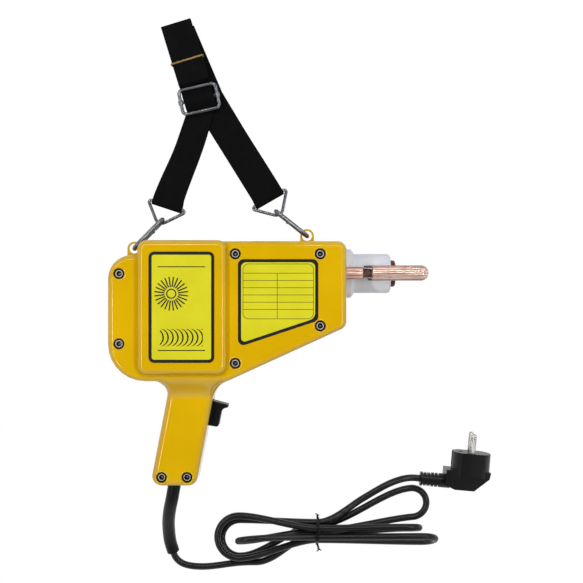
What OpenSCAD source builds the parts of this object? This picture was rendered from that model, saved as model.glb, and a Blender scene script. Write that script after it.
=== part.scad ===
// Hand-held stud welder: a two-shell moulded housing around a transformer block, a copper nose,
// a leaning grip with its trigger, a shoulder strap and a mains lead tied into a hank.
// It lies on the back of the transformer block: x to the nose, y along the block, z up.

/* [Housing] */
// Width of the transformer block
block_w = 80; // [76:1:86]
// Length of the transformer block
block_l = 120; // [116:1:128]
// Thickness of the housing at the block
case_t = 96; // [94:1:104]
// How far the side panels lie below the face of the block
panel_step = 8; // [6:0.5:9]
// Reach of the rear flange past the block
flange_reach = 27.5; // [25:0.5:33]
// Reach of the nose panel past the block
nose_reach = 107.5; // [104:0.5:116]
// Length of the nose's front edge
nose_l = 78; // [75:0.5:82]
// Wall thickness of both shells
wall = 3; // [2.25:0.25:3.25]
// Radius of the rounded face edges
edge_r = 5.5; // [4:0.25:6]

/* [Grip] */
// Width of the grip
grip_w = 41.6; // [40:0.2:45]
// Thickness of the grip
grip_t = 44; // [42:1:48]
// Lean of the grip away from square to the block
grip_lean = 10.9; // [9:0.1:12.5]
// Drop of the grip's end below the block
grip_drop = 104.3; // [102.3:0.5:112.3]
// Travel of the trigger
trigger_travel = 6; // [3:0.5:7]

/* [Nose] */
// Diameter of the white sleeve
sleeve_d = 36.8; // [34:0.2:40]
// Reach of the white sleeve past the housing
sleeve_l = 43.5; // [36:0.5:55]
// Diameter of the stud electrode
stud_d = 25; // [22:0.5:27]
// Diameter of the bare contact rod
rod_d = 11.4; // [10:0.2:12]
// Diameter of the copper contact tip
tip_d = 14; // [13.4:0.2:16]
// Reach of the contact tip past the housing
tip_reach = 76.5; // [70:0.5:90]

/* [Sling] */
// Width of the webbing
web_w = 30; // [26:1:30]
// Thickness of the webbing
web_t = 1.6; // [1.4:0.1:1.8]
// Wire diameter of the snap hooks
hook_d = 4; // [3.4:0.1:4]
// Length of the snap hooks between their wire centres
hook_l = 38.5; // [37:0.5:42]
// Sag of the hooks as the welder lies on its back
sling_sag = 20; // [16:1:24]

/* [Mains lead] */
// Diameter of the mains lead
cord_d = 6.5; // [6:0.1:6.6]
// Diameter of the cord boot
boot_d = 12; // [11.4:0.1:12.4]
// Diameter of the plug's face
plug_d = 37; // [36:0.5:39]
// Diameter of the plug's pins
pin_d = 4.8; // [4:0.8:4.8]

/* [Hidden] */

round_fn = 48;
small_fn = 24;
wire_sides = 10;
corner_steps = 7;
edge_steps = 5;
over = 1;
touch_gap = 0.05;
run_gap = 0.3;
slide_gap = 0.4;

yellow = [0.93, 0.68, 0.1];
lemon = [0.98, 0.93, 0.15];
black = [0.09, 0.09, 0.1];
steel = [0.7, 0.71, 0.73];
copper = [0.75, 0.42, 0.26];
brass = [0.8, 0.66, 0.3];
white = [0.93, 0.93, 0.92];
green = [0.1, 0.4, 0.2];
tan_rubber = [0.78, 0.64, 0.42];
iron = [0.35, 0.36, 0.38];

// Levels and outlines of the housing
mid_z = case_t / 2;
block_x = block_w / 2;
block_y = block_l / 2;
panel_top = case_t - panel_step;
grip_top = mid_z + grip_t / 2;
block_corner_r = 8;
flange_x = -block_x - flange_reach;
flange_drop = 13;
flange_y = block_y - flange_drop;
skirt = 7;
skirt_y = -block_y - skirt;
nose_x = block_x + nose_reach;
nose_y = block_y - nose_l;
panel_inset = 0.6;
panel_y = block_y - panel_inset;
nose_corner_r = 8;
flange_low_r = 33.5;
flange_top_r = 21.5;
tuck_x = block_x / 4;
body_pts = [[flange_x, skirt_y], [block_x, skirt_y], [nose_x, nose_y], [nose_x, panel_y],
            [-tuck_x, panel_y], [-tuck_x * 3, flange_y], [flange_x, flange_y]];
body_rs = [flange_low_r, nose_corner_r, nose_corner_r, nose_corner_r, nose_corner_r, nose_corner_r,
           flange_top_r];
block_pts = [[-block_x, -block_y], [block_x, -block_y], [block_x, block_y], [-block_x, block_y]];
block_rs = [block_corner_r, block_corner_r, block_corner_r, block_corner_r];

// The grip: its own x runs across it, its own y up along it
grip_c = 20.5;
grip_y = -block_y - grip_drop;
grip_corner_r = 9;
grip_edge_r = 6.5;
grip_root_front_r = 11;
grip_root_back_r = 9;
root_tuck = 1.6;
root_y = skirt_y + root_tuck;
root_rise = 7;
root_depth = 22;
root_front = 18;
root_back = 20;
root_r = 8;
grip_l = grip_c - grip_w / 2;
grip_r = grip_c + grip_w / 2;
function grip_x(across, y) = (across + sin(grip_lean) * y) / cos(grip_lean);
grip_pts = [[grip_x(grip_l, grip_y), grip_y], [grip_x(grip_r, grip_y), grip_y],
            [grip_x(grip_r, root_y), root_y], [grip_x(grip_r, root_y) + root_front, root_y + root_rise],
            [grip_x(grip_r, root_y) + root_front, root_y + root_rise + root_depth],
            [grip_x(grip_l, root_y) - root_back, root_y + root_rise + root_depth],
            [grip_x(grip_l, root_y) - root_back, root_y + root_rise], [grip_x(grip_l, root_y), root_y]];
grip_rs = [grip_corner_r, grip_corner_r, grip_root_front_r, root_r, root_r, root_r, root_r,
           grip_root_back_r];

// Case screws: place and the level of the face each one sits in
screw_d = 5;
head_d = 8.5;
head_h = 5;
socket_d = 4.6;
socket_h = 2.8;
sink_d = 10;
sink_floor = 6.5;
boss_d = 9;
collar_d = 12.4;
insert_d = 6.5;
insert_h = 10;
insert_bore = 5.1;
flange_screw_in = 10.5;
flange_screw_drop = 17;
flange_screw_rise = 34;
panel_screw_in = 7.5;
panel_screw_drop = 11.6;
nose_screw_in = 23.7;
nose_screw_rise = 1.1;
slope_screw_rise = 16.5;
grip_screw_out = 11.4;
grip_screw_rise = 8.4;
grip_screw_y = grip_y + grip_screw_rise;
screws = [[flange_x + flange_screw_in, flange_y - flange_screw_drop, panel_top],
          [flange_x + flange_screw_in, skirt_y + flange_screw_rise, panel_top],
          [block_x + panel_screw_in, panel_y - panel_screw_drop, panel_top],
          [nose_x - nose_screw_in, panel_y - panel_screw_drop, panel_top],
          [nose_x - nose_screw_in, nose_y + nose_screw_rise, panel_top],
          [block_x + panel_screw_in, skirt_y + slope_screw_rise, panel_top],
          [grip_x(grip_c - grip_screw_out, grip_screw_y), grip_screw_y, grip_top],
          [grip_x(grip_c + grip_screw_out, grip_screw_y), grip_screw_y, grip_top]];

// Labels
label_t = 0.35;
block_label_w = 58.5;
block_label_l = 99;
label_corner_r = 5;
block_label_pts = [[-block_label_w / 2, -block_label_l / 2], [block_label_w / 2, -block_label_l / 2],
                   [block_label_w / 2, block_label_l / 2], [-block_label_w / 2, block_label_l / 2]];
block_label_rs = [label_corner_r, label_corner_r, label_corner_r, label_corner_r];
panel_label_in = 10;
panel_label_w = 72;
panel_label_drop = 17;
panel_label_short = 55;
panel_label_long = 79;
panel_label_x = block_x + panel_label_in;
panel_label_y = block_y - panel_label_drop;
panel_label_pts = [[panel_label_x, panel_label_y - panel_label_long],
                   [panel_label_x + panel_label_w, panel_label_y - panel_label_short],
                   [panel_label_x + panel_label_w, panel_label_y], [panel_label_x, panel_label_y]];

// Nose
nose_axis_drop = 29;
stud_room = 21;
rod_up = 15;
sleeve_flange_out = 4.5;
spigot_wall = 2.3;
nose_axis_y = block_y - nose_axis_drop;
stud_z = panel_step + wall + stud_room;
rod_z = mid_z + rod_up;
flange_d = sleeve_d + sleeve_flange_out * 2;
sleeve_flange_h = 8.4;
sleeve_flange_chamfer = 2.4;
sleeve_end_r = 3;
spigot_d = stud_d + spigot_wall * 2;
spigot_in = 9;
stud_proud = 4.6;
stud_chamfer = 1.2;
stud_socket_d = 10;
stud_socket_l = 20;
stud_in = 18;
rod_in = 42;
rod_reach = 17;
rod_chamfer = 1.4;
neck_d = 8.6;
neck_end_d = 7;
neck_l = 8;
tip_bore_d = 7;
tip_room = 0.3;
tip_bore_l = 16;
ear_back = 9;
ear_gap = 9.6;
tip_hole_d = 2.4;
tip_hole_l = 4;
clamp_l = 22;
clamp_w = 24;
clamp_h = 23;
lower_clamp_w = 36;
lower_clamp_h = 34;
lower_clamp_l = 9;
lower_clamp_in = 18.5;

// Transformer
core_room_w = 3;
core_room_l = 7;
core_share = 25 / 48;
core_w = block_w - (wall + core_room_w) * 2;
core_l = block_l - (wall + core_room_l) * 2;
core_h = case_t * core_share;
core_leg = 10;
window_w = 13;
window_l = 60;
core_bolt_d = 5;
core_bolt_in = 5;
core_nut_d = 9;
core_nut_h = 3.5;
post_d = 8;
post_x = 14;
post_y = 42;
centre_leg = core_w - core_leg * 2 - window_w * 2;
bobbin_wall = 1.5;
bobbin_flange = 2;
bobbin_gap = 0.3;
bobbin_x = centre_leg / 2 + bobbin_gap + bobbin_wall;
bobbin_z = core_h / 2 + bobbin_gap + bobbin_wall;
wind_build_x = 6.6;
wind_build_z = 8.2;
wind_x = bobbin_x + wind_build_x;
wind_z = bobbin_z + wind_build_z;
strip_t = 3.2;
strip_gap = 0.5;
strip_w = 40;
strip_x = wind_x + strip_gap;
strip_z = wind_z + strip_gap;
lead_w = 18;
lead_in = 2;
lead_rise = 2.3;
lead_z = mid_z + core_h / 2 + lead_rise;
drop_in = 17;
bus_short = 4;
drop_x = block_x + drop_in;
bus_end_x = nose_x - rod_in + clamp_l - bus_short;
under_z = stud_z - lower_clamp_h / 2 - strip_t - run_gap;

// Trigger and switch, in the grip's own frame
trig_top = -79.4;
trig_h = 24.5;
trig_t = 18;
trig_out = 9.6;
trig_lip = 15.3;
trig_lip_h = 2.2;
trig_lip_r = 6.6;
trig_in = 10.6;
trig_flange = 3;
trig_flange_t = 2;
trig_wall_gap = 0.35;
switch_w = 16.6;
switch_l = 24;
switch_t = 16;
plunger_d = 5;
plunger_l = 9.4;

// Timer board and wiring block
board_w = 44;
board_l = 34;
board_t = 1.6;
board_in = 32;
board_low = 25;
board_room = 7;
board_x = block_x + board_in;
board_y = -board_low;
board_z = panel_step + wall + board_room;
post_h = 6;
post_hole_d = 3;
terminal_w = 26;
terminal_l = 12;
terminal_t = 14;
cable_clamp_w = 26;
cable_clamp_l = 9;
cable_clamp_t = 5;

// Lugs and hooks
lug_r = 6.4;
lug_hole_r = 4.6;
lug_t = 3;
lug_root = 10;
lug_left_in = 18.9;
lug_left_out = 7.1;
lug_right_in = 35;
lug_right_out = 6.4;
lug_left = [flange_x + lug_left_in, flange_y + lug_left_out];
lug_right = [nose_x - lug_right_in, panel_y + lug_right_out];
lug_z = mid_z - lug_t / 2;
sling_skew = atan2(lug_right[1] - lug_left[1], lug_right[0] - lug_left[0]);
sling_span = norm(lug_right - lug_left);
hook_half = 6.5;
hook_turn = 45;
hook_lean = 14.4;
nose_stub = 10.2;
gate_start = 10.5;
gate_end = 27;
gate_pivot = 25;
stub_start = 28;
tongue_t = 1.4;
tongue_start = 22.6;
fork_start = 21.8;
fork_gap = 0.3;
gate_pin_d = 1.6;
gate_pin_l = 5.4;
ring_d = 3;
ring_bar = 40.4;
ring_h = 22.5;
ring_r = 2;
ring_apex_r = 6.4;
ring_gap = 0.8;
wrap_gap = 0.45;
ring_turn_left = 66;
ring_turn_right = 118;
ring_seat = hook_l - hook_d / 2 - ring_d / 2 - ring_gap;

// Folded webbing, buckle and band, in a frame along the bundle
bundle_x = 8.5;
bundle_y = 200.4;
bundle_turn = 107;
bundle_l = 58;
bundle_start = 17;
layer_gap = 0.4;
floor_gap = 0.4;
layers = 4;
buckle_d = 3.4;
buckle_w = 36;
buckle_l = 24;
buckle_r = 4;
bar_d = 3;
bar_collar_d = 5;
bar_collar_l = 4;
band_t = 1.2;
band_w = 1.8;
band_at = 38;

// Mains lead, chosen points of its way in millimetres
cable_top = -122;
clamp_at = -130;
boot_top = -143;
boot_mid = -154;
boot_out = -166;
function on_grip(l) = [grip_c * cos(grip_lean) + l * sin(grip_lean),
    l * cos(grip_lean) - grip_c * sin(grip_lean), mid_z];
boot_route = [on_grip(boot_top), on_grip(boot_mid), on_grip(boot_out), [-13.6, -179, 45.5],
              [-16.8, -192, 37], [-19, -204.5, 26.5], [-19.6, -216, 17.5], [-19, -227, 11],
              [-16.6, -237, 7.4]];
lead_route = [[-16.5, -237.4, 7.3], [-15.4, -242, 5.6], [-12.4, -246.6, 4.4], [-7.6, -250.2, 3.6],
              [-1, -252.3, 3.3], [7, -253.2, 3.3], [16, -253.2, 3.3], [26, -252.2, 3.3], [36, -250.8, 3.3],
              [46, -249.6, 3.3], [55.6, -249, 3.25], [62.2, -249, 3.25]];
tail_route = [[167.4, -186.8, 5], [173.2, -183.3, 5], [181, -178.7, 5], [190, -173.6, 6],
              [199, -169.2, 8.8],
              [207.4, -166.2, 12.4], [215, -165.1, 15], [221.6, -165.7, 15], [227.2, -166.2, 15]];
waist = [123, -217];
pitch = 8.4;
hank_start = [-60, -32];
hank_end = [44, 30];
hank_end_turn = 31;
hank_end_z = 5;
hank_sides = 6;
cord_sides = 12;
boot_collar_d = 18;
boot_collar_h = 3.6;
run_rings = 9;
cap_rings = 7;
// Each lobe: side, slot in, slot out, reach, offset, height, radius, lean, tilt, first half
lobes = [[1, 0, 6, 88, 3.5, 13.5, 10, 0, 75, -1], [-1, 6, 2, 76, -6, 10.4, 20.5, 0, 0, 1],
         [1, 2, 5, 101, -7, 15.5, 12, 0, 66, -1], [-1, 5, 3, 66, -7, 19.5, 10, -6, 75, 1],
         [1, 3, 1, 92, 26, 3.3, 14, 5, 0, -1], [-1, 1, 4, 75, -8.5, 3.25, 17.5, 0, 0, -1]];
tie_d = 1.1;
tie_w = 3.2;
tie_tail_d = 2.2;
tie_tail_l = 15;

// Plug
plug_at = [269.5, -157.5, 15];
plug_turn = -5;
plug_flat = 30;
plug_body_l = 17;
plug_face_h = 6;
base_t = 25;
relief_d = 13.5;
relief_l = 23;
relief_slots = 5;
relief_slot = 1.5;
relief_pitch = 3.6;
relief_slot_deep = 2.2;
relief_y = -12.4;
pin_l = 19;
pin_gap = 19;
pin_in = 8;
clip_w = 5;
clip_t = 1.2;
clip_l = 12;
earth_hole_d = 5;
earth_hole_l = 14;
earth_hole_x = 10.5;

// Point lists
function unit(v) = v / norm(v);
function left_of(v) = [-v[1], v[0]];
function turned(v, a) = [v[0] * cos(a) - v[1] * sin(a), v[0] * sin(a) + v[1] * cos(a)];
function at(list, i) = list[(i + len(list)) % len(list)];
function side(pts, i) = unit(at(pts, i + 1) - at(pts, i));
function bend(pts, i) = let (a = side(pts, i - 1), b = side(pts, i))
    atan2(a[0] * b[1] - a[1] * b[0], a * b);
function arc_centre(pts, rs, i) = let (a = side(pts, i - 1), t = bend(pts, i), s = sign(t))
    pts[i] - a * rs[i] * tan(abs(t) / 2) + left_of(a) * s * rs[i];
function corner(pts, rs, i, inset, steps) = let (a = side(pts, i - 1), t = bend(pts, i), s = sign(t),
        c = arc_centre(pts, rs, i))
    [for (k = [0:steps]) c - s * (rs[i] - s * inset) * turned(left_of(a), t * k / steps)];
function ring(pts, rs, inset, steps) =
    [for (i = [0:len(pts) - 1]) each corner(pts, rs, i, inset, steps)];
function raise(flat, z) = [for (p = flat) [p[0], p[1], z]];
function crown_rings(pts, rs, z0, z1, r, steps, levels) = concat(
    [raise(ring(pts, rs, 0, steps), z0)],
    [for (k = [0:levels]) let (a = k * 90 / levels)
        raise(ring(pts, rs, r * (1 - cos(a)), steps), z1 - r + r * sin(a))]);
function route_dir(p, i) = unit(p[min(i + 1, len(p) - 1)] - p[max(i - 1, 0)]);
function flatten(n, t) = unit(n - t * (n * t));
function route_normals(p, first) = [for (i = 0, n = flatten(first, route_dir(p, 0)); i < len(p);
    i = i + 1, n = flatten(n, route_dir(p, min(i, len(p) - 1)))) n];
function tube_rings(p, r, sides, first) = let (ns = route_normals(p, first))
    [for (i = [0:len(p) - 1]) let (t = route_dir(p, i), n = ns[i], b = cross(t, n))
        [for (k = [0:sides - 1]) let (a = (k + 1 / 2) * 360 / sides)
            p[i] + r * (n * cos(a) + b * sin(a))]];
function hermite(a, ta, b, tb, u) = a * (2 * pow(u, 3) - 3 * pow(u, 2) + 1)
    + ta * (pow(u, 3) - 2 * pow(u, 2) + u) + b * (3 * pow(u, 2) - 2 * pow(u, 3))
    + tb * (pow(u, 3) - pow(u, 2));
function run(a, ta, b, tb, n) = [for (k = [0:n - 1]) hermite(a, ta, b, tb, k / (n - 1))];
function head(list, n) = [for (k = [0:n - 1]) list[k]];
function smooth(u) = u * u * (3 - 2 * u);

module skin(rings, split = false, flank = 0) {
    n = len(rings[0]);
    m = len(rings);
    last = (m - 1) * n;
    rungs = flank == 0 ? [] : [for (k = [0:n / 2 - 2]) let (
            a = (flank - 1 - k + n) % n, b = flank + k, c = flank + k + 1, d = (flank - 2 - k + n) % n)
        each [[a, b, c], [a, c, d]]];
    quads = [for (i = [0:m - 2]) for (k = [0:n - 1]) let (j = (k + 1) % n)
        [i * n + k, i * n + n + k, i * n + n + j, i * n + j]];
    thirds = [for (q = quads) each [[q[0], q[1], q[2]], [q[0], q[2], q[3]]]];
    flat_ends = [[for (k = [0:n - 1]) k], [for (k = [n - 1:-1:0]) last + k]];
    rung_ends = [for (f = rungs) each [f, [last + f[0], last + f[2], last + f[1]]]];
    ends = flank == 0 ? flat_ends : rung_ends;
    polyhedron(points = [for (r = rings) each r], faces = concat(ends, split ? thirds : quads));
}

module tube(p, r, sides, first = [0, 0, 1]) {
    skin(tube_rings(p, r, sides, first), true);
}

// A hollow sleeve along a route: outer rings forward, inner rings back
module sleeve_tube(p, r_out, r_in, sides) {
    rings_out = tube_rings(p, r_out, sides, [0, 0, 1]);
    rings_in = tube_rings(p, r_in, sides, [0, 0, 1]);
    n = sides;
    m = len(p);
    around = [for (i = [0:m - 2]) for (k = [0:n - 1]) let (j = (k + 1) % n)
        each [[i * n + k, i * n + n + k, i * n + n + j], [i * n + k, i * n + n + j, i * n + j]]];
    inside = [for (f = around) [m * n + f[0], m * n + f[2], m * n + f[1]]];
    start = [for (k = [0:n - 1]) let (j = (k + 1) % n)
        each [[k, j, m * n + j], [k, m * n + j, m * n + k]]];
    last = (m - 1) * n;
    finish = [for (k = [0:n - 1]) let (j = (k + 1) % n)
        each [[last + j, last + k, m * n + last + k], [last + j, m * n + last + k, m * n + last + j]]];
    polyhedron(points = concat([for (r = rings_out) each r], [for (r = rings_in) each r]),
               faces = concat(around, inside, start, finish));
}

module strip(lefts, rights, t) {
    m = len(lefts);
    rings = [for (i = [0:m - 1]) let (
            l = lefts[i], r = rights[i],
            along = lefts[min(i + 1, m - 1)] - lefts[max(i - 1, 0)],
            up = unit(cross(along, l - r)))
        [l + up * t, r + up * t, r, l]];
    skin(rings, true);
}

module rod_x(d, x0, x1) {
    translate([x0, 0, 0]) rotate([0, 90, 0]) cylinder(d = d, h = x1 - x0, $fn = round_fn);
}

module plate(pts, rs, h, inset = 0, steps = corner_steps) {
    linear_extrude(height = h) polygon(ring(pts, rs, inset, steps));
}

// A closed wire in its own xy plane, rounded at its corners
module wire_loop(pts, rs, d) {
    p = ring(pts, rs, 0, corner_steps);
    m = len(p);
    n = wire_sides;
    rings = [for (i = [0:m - 1]) let (t = unit(at(p, i + 1) - at(p, i - 1)))
        [for (k = [0:n - 1]) let (a = k * 360 / n)
            [p[i][0], p[i][1], 0] + d / 2 * [-t[1] * cos(a), t[0] * cos(a), sin(a)]]];
    faces = [for (i = [0:m - 1]) for (k = [0:n - 1]) let (j = (k + 1) % n, e = (i + 1) % m)
        each [[i * n + k, i * n + j, e * n + j], [i * n + k, e * n + j, e * n + k]]];
    polyhedron(points = [for (r = rings) each r], faces = faces);
}

// Housing

// A shell half's rounded prism, trimmed to flat faces at the parting line and at its top
module crowned(pts, rs, top, r, flank) {
    difference() {
        skin(crown_rings(pts, rs, mid_z - over, top + touch_gap, r, corner_steps, edge_steps),
             false, flank);
        translate([-nose_x * 2, -nose_x * 2, top]) cube([nose_x * 4, nose_x * 4, edge_r]);
        translate([-nose_x * 2, -nose_x * 2, mid_z - edge_r]) cube([nose_x * 4, nose_x * 4, edge_r]);
    }
}

module half_outside() {
    crowned(body_pts, body_rs, panel_top, edge_r, corner_steps + 1);
    crowned(block_pts, block_rs, case_t, edge_r, 0);
    crowned(grip_pts, grip_rs, grip_top, grip_edge_r, corner_steps + 1);
}

module half_inside() {
    translate([0, 0, mid_z - over]) {
        plate(body_pts, body_rs, panel_top - wall - mid_z + over, wall);
        plate(block_pts, block_rs, case_t - wall - mid_z + over, wall);
        plate(grip_pts, grip_rs, grip_top - wall - mid_z + over, wall);
    }
}

module screw_posts(d, from_top) {
    for (s = screws) translate([s[0], s[1], mid_z])
        cylinder(d = d, h = s[2] - from_top - mid_z, $fn = small_fn);
}

module core_posts() {
    for (x = [-post_x, post_x]) for (y = [-post_y, post_y])
        translate([x, y, mid_z + core_h / 2 + touch_gap])
            cylinder(d = post_d, h = case_t - wall / 2 - mid_z - core_h / 2 - touch_gap, $fn = small_fn);
}

module half_solid() {
    difference() {
        half_outside();
        half_inside();
    }
    screw_posts(boss_d, wall / 2);
    core_posts();
}

module grip_frame() {
    rotate([0, 0, -grip_lean]) children();
}

module trigger_mouth() {
    grip_frame() translate([grip_r - wall - over, trig_top - trig_h - slide_gap,
        mid_z - trig_t / 2 - slide_gap])
        cube([wall + over * 2, trig_h + slide_gap * 2, trig_t + slide_gap * 2]);
}

module boot_mouth() {
    grip_frame() translate([grip_c, -mid_z, mid_z]) rotate([90, 0, 0]) rotate([0, 0, 90])
        cylinder(d = boot_d + run_gap * 2, h = grip_drop + mid_z, $fn = round_fn);
}

module front_shell() {
    color(yellow) difference() {
        union() {
            half_solid();
            for (s = screws) translate([s[0], s[1], s[2] - sink_floor - wall])
                cylinder(d = collar_d, h = sink_floor + wall / 4, $fn = small_fn);
        }
        for (s = screws) {
            translate([s[0], s[1], s[2] - sink_floor])
                cylinder(d = sink_d, h = sink_floor + over, $fn = round_fn);
            translate([s[0], s[1], mid_z - over])
                cylinder(d = screw_d + run_gap * 2, h = s[2], $fn = small_fn);
        }
        translate([0, nose_axis_y, rod_z])
            rod_x(rod_d + run_gap * 2, nose_x - wall - over, nose_x + over);
        translate([0, nose_axis_y, stud_z])
            rod_x(spigot_d + run_gap, nose_x - wall - over, nose_x + over);
        trigger_mouth();
        boot_mouth();
    }
}

module lug(p, root) {
    translate([p[0], p[1], lug_z - lug_t / 2]) {
        cylinder(r = lug_r, h = lug_t, $fn = round_fn);
        translate([-lug_r, -root, 0]) cube([lug_r * 2, root, lug_t]);
    }
}

module board_posts() {
    low = panel_step + wall / 2;
    for (x = [post_h, board_w - post_h]) for (y = [post_h, board_l - post_h])
        translate([board_x + x, board_y + y, low]) {
            cylinder(d = post_h, h = board_z - touch_gap - low, $fn = small_fn);
            cylinder(d = post_hole_d - touch_gap * 2, h = board_z + board_t - low, $fn = small_fn);
        }
}

module rear_shell() {
    color(yellow) difference() {
        union() {
            translate([0, 0, case_t]) mirror([0, 0, 1]) half_solid();
            board_posts();
            difference() {
                union() {
                    lug(lug_left, lug_root);
                    lug(lug_right, lug_root);
                }
                translate([0, 0, lug_z - lug_t]) plate(body_pts, body_rs, lug_t * 2, wall);
            }
        }
        for (p = [lug_left, lug_right]) translate([p[0], p[1], lug_z - lug_t])
            cylinder(r = lug_hole_r, h = lug_t * 2, $fn = round_fn);
        for (s = screws) {
            translate([s[0], s[1], mid_z - insert_h - run_gap])
                cylinder(d = insert_d + touch_gap * 2, h = insert_h + over, $fn = small_fn);
            translate([s[0], s[1], mid_z - insert_h * 2])
                cylinder(d = screw_d + run_gap * 2, h = insert_h * 2, $fn = small_fn);
        }
        translate([0, nose_axis_y, stud_z])
            rod_x(spigot_d + run_gap, nose_x - wall - over, nose_x + over);
        trigger_mouth();
        boot_mouth();
    }
}

module case_screws() {
    color(steel) for (s = screws) translate([s[0], s[1], 0]) difference() {
        union() {
            translate([0, 0, s[2] - sink_floor + touch_gap])
                cylinder(d = head_d, h = head_h, $fn = round_fn);
            translate([0, 0, mid_z - insert_h])
                cylinder(d = screw_d, h = s[2] - sink_floor - mid_z + insert_h + over, $fn = small_fn);
        }
        translate([0, 0, s[2] - sink_floor + head_h - socket_h])
            cylinder(d = socket_d, h = socket_h + over, $fn = 6);
    }
}

module thread_inserts() {
    color(brass) for (s = screws) translate([s[0], s[1], mid_z - insert_h - touch_gap * 2]) difference() {
        cylinder(d = insert_d, h = insert_h, $fn = small_fn);
        translate([0, 0, -over]) cylinder(d = insert_bore, h = insert_h + over * 2, $fn = small_fn);
    }
}

module block_label() {
    color(lemon) translate([0, 0, case_t]) plate(block_label_pts, block_label_rs, label_t);
}

module panel_label() {
    color(lemon) translate([0, 0, panel_top]) plate(panel_label_pts, block_label_rs, label_t);
}

// Transformer

module core_holes(d) {
    for (x = [-1, 1]) for (y = [-1, 1])
        translate([x * (core_w / 2 - core_bolt_in), y * (core_l / 2 - core_bolt_in), 0]) children();
}

module transformer_core() {
    color(iron) translate([0, 0, mid_z - core_h / 2]) difference() {
        translate([-core_w / 2, -core_l / 2, 0]) cube([core_w, core_l, core_h]);
        for (x = [-core_w / 2 + core_leg, core_w / 2 - core_leg - window_w])
            translate([x, -window_l / 2, -over]) cube([window_w, window_l, core_h + over * 2]);
        core_holes() translate([0, 0, -over])
            cylinder(d = core_bolt_d + run_gap, h = core_h + over * 2, $fn = small_fn);
    }
}

module core_bolts() {
    color(steel) translate([0, 0, mid_z - core_h / 2]) core_holes() {
        translate([0, 0, -core_nut_h])
            cylinder(d = core_bolt_d, h = core_h + core_nut_h * 2, $fn = small_fn);
        translate([0, 0, -core_nut_h - touch_gap]) cylinder(d = core_nut_d, h = core_nut_h, $fn = 6);
        translate([0, 0, core_h + touch_gap]) cylinder(d = core_nut_d, h = core_nut_h, $fn = 6);
    }
}

module upright(x, z, l) {
    translate([-x, -l / 2, -z]) cube([x * 2, l, z * 2]);
}

module bobbin() {
    color(black) translate([0, 0, mid_z]) difference() {
        union() {
            upright(bobbin_x, bobbin_z, window_l - bobbin_gap * 2);
            for (y = [-1, 1]) translate([0, y * (window_l / 2 - bobbin_gap - bobbin_flange / 2), 0])
                upright(wind_x, wind_z, bobbin_flange);
        }
        upright(bobbin_x - bobbin_wall, bobbin_z - bobbin_wall, window_l);
    }
}

module primary_winding() {
    color(copper) translate([0, 0, mid_z]) difference() {
        upright(wind_x, wind_z, window_l - bobbin_gap * 4 - bobbin_flange * 2);
        upright(bobbin_x + touch_gap, bobbin_z + touch_gap, window_l);
    }
}

// One turn of copper strip: down one window, under, up the other, both ends led to the nose
module secondary_winding() {
    up_top = lead_z + strip_t;
    high_z = mid_z + strip_z;
    low_z = mid_z - strip_z - strip_t;
    color(copper) {
        difference() {
            union() {
                translate([-strip_x - strip_t, -strip_w / 2, low_z])
                    cube([strip_t, strip_w, high_z + strip_t - low_z]);
                translate([strip_x, -strip_w / 2, low_z]) cube([strip_t, strip_w, up_top - low_z]);
                translate([-strip_x - strip_t, -strip_w / 2, low_z])
                    cube([strip_x * 2 + strip_t * 2, strip_w, strip_t]);
            }
            translate([strip_x - over, lead_in - strip_gap, mid_z + core_h / 2])
                cube([strip_t + over * 2, strip_w, core_h]);
        }
        translate([-strip_x - strip_t, lead_in, high_z])
            cube([strip_x * 2 + strip_t * 3, lead_w, strip_t]);
        translate([strip_x + strip_t, lead_in, lead_z])
            cube([strip_t, lead_w, high_z + strip_t - lead_z]);
        translate([strip_x + strip_t, lead_in, lead_z])
            cube([bus_end_x - strip_x - strip_t, lead_w, strip_t]);
        translate([bus_end_x - lead_w, lead_in, lead_z])
            cube([lead_w, nose_axis_y + clamp_w / 2 - lead_in, strip_t]);
        translate([strip_x, -lead_in - lead_w, lead_z]) cube([drop_x - strip_x, lead_w, strip_t]);
        translate([drop_x - strip_t, -lead_in - lead_w, under_z])
            cube([strip_t, lead_w, lead_z + strip_t - under_z]);
        translate([drop_x - strip_t, -lead_in - lead_w, under_z])
            cube([lead_w + strip_t, nose_axis_y + lead_in + lead_w, strip_t]);
        translate([drop_x - strip_t, nose_axis_y - lead_w / 2, under_z])
            cube([nose_x - lower_clamp_in + lower_clamp_l - drop_x + strip_t, lead_w, strip_t]);
    }
}

// Nose

module rod_clamp() {
    color(copper) difference() {
        translate([nose_x - rod_in, nose_axis_y - clamp_w / 2, lead_z - run_gap - clamp_h])
            cube([clamp_l, clamp_w, clamp_h]);
        translate([0, nose_axis_y, rod_z])
            rod_x(rod_d + touch_gap * 2, nose_x - rod_in - over, nose_x - rod_in + clamp_l + over);
    }
}

module electrode_clamp() {
    color(copper) difference() {
        translate([nose_x - lower_clamp_in, nose_axis_y - lower_clamp_w / 2, stud_z - lower_clamp_h / 2])
            cube([lower_clamp_l, lower_clamp_w, lower_clamp_h]);
        translate([0, nose_axis_y, stud_z])
            rod_x(stud_d + touch_gap * 2, nose_x - lower_clamp_in - over, nose_x);
    }
}

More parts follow.
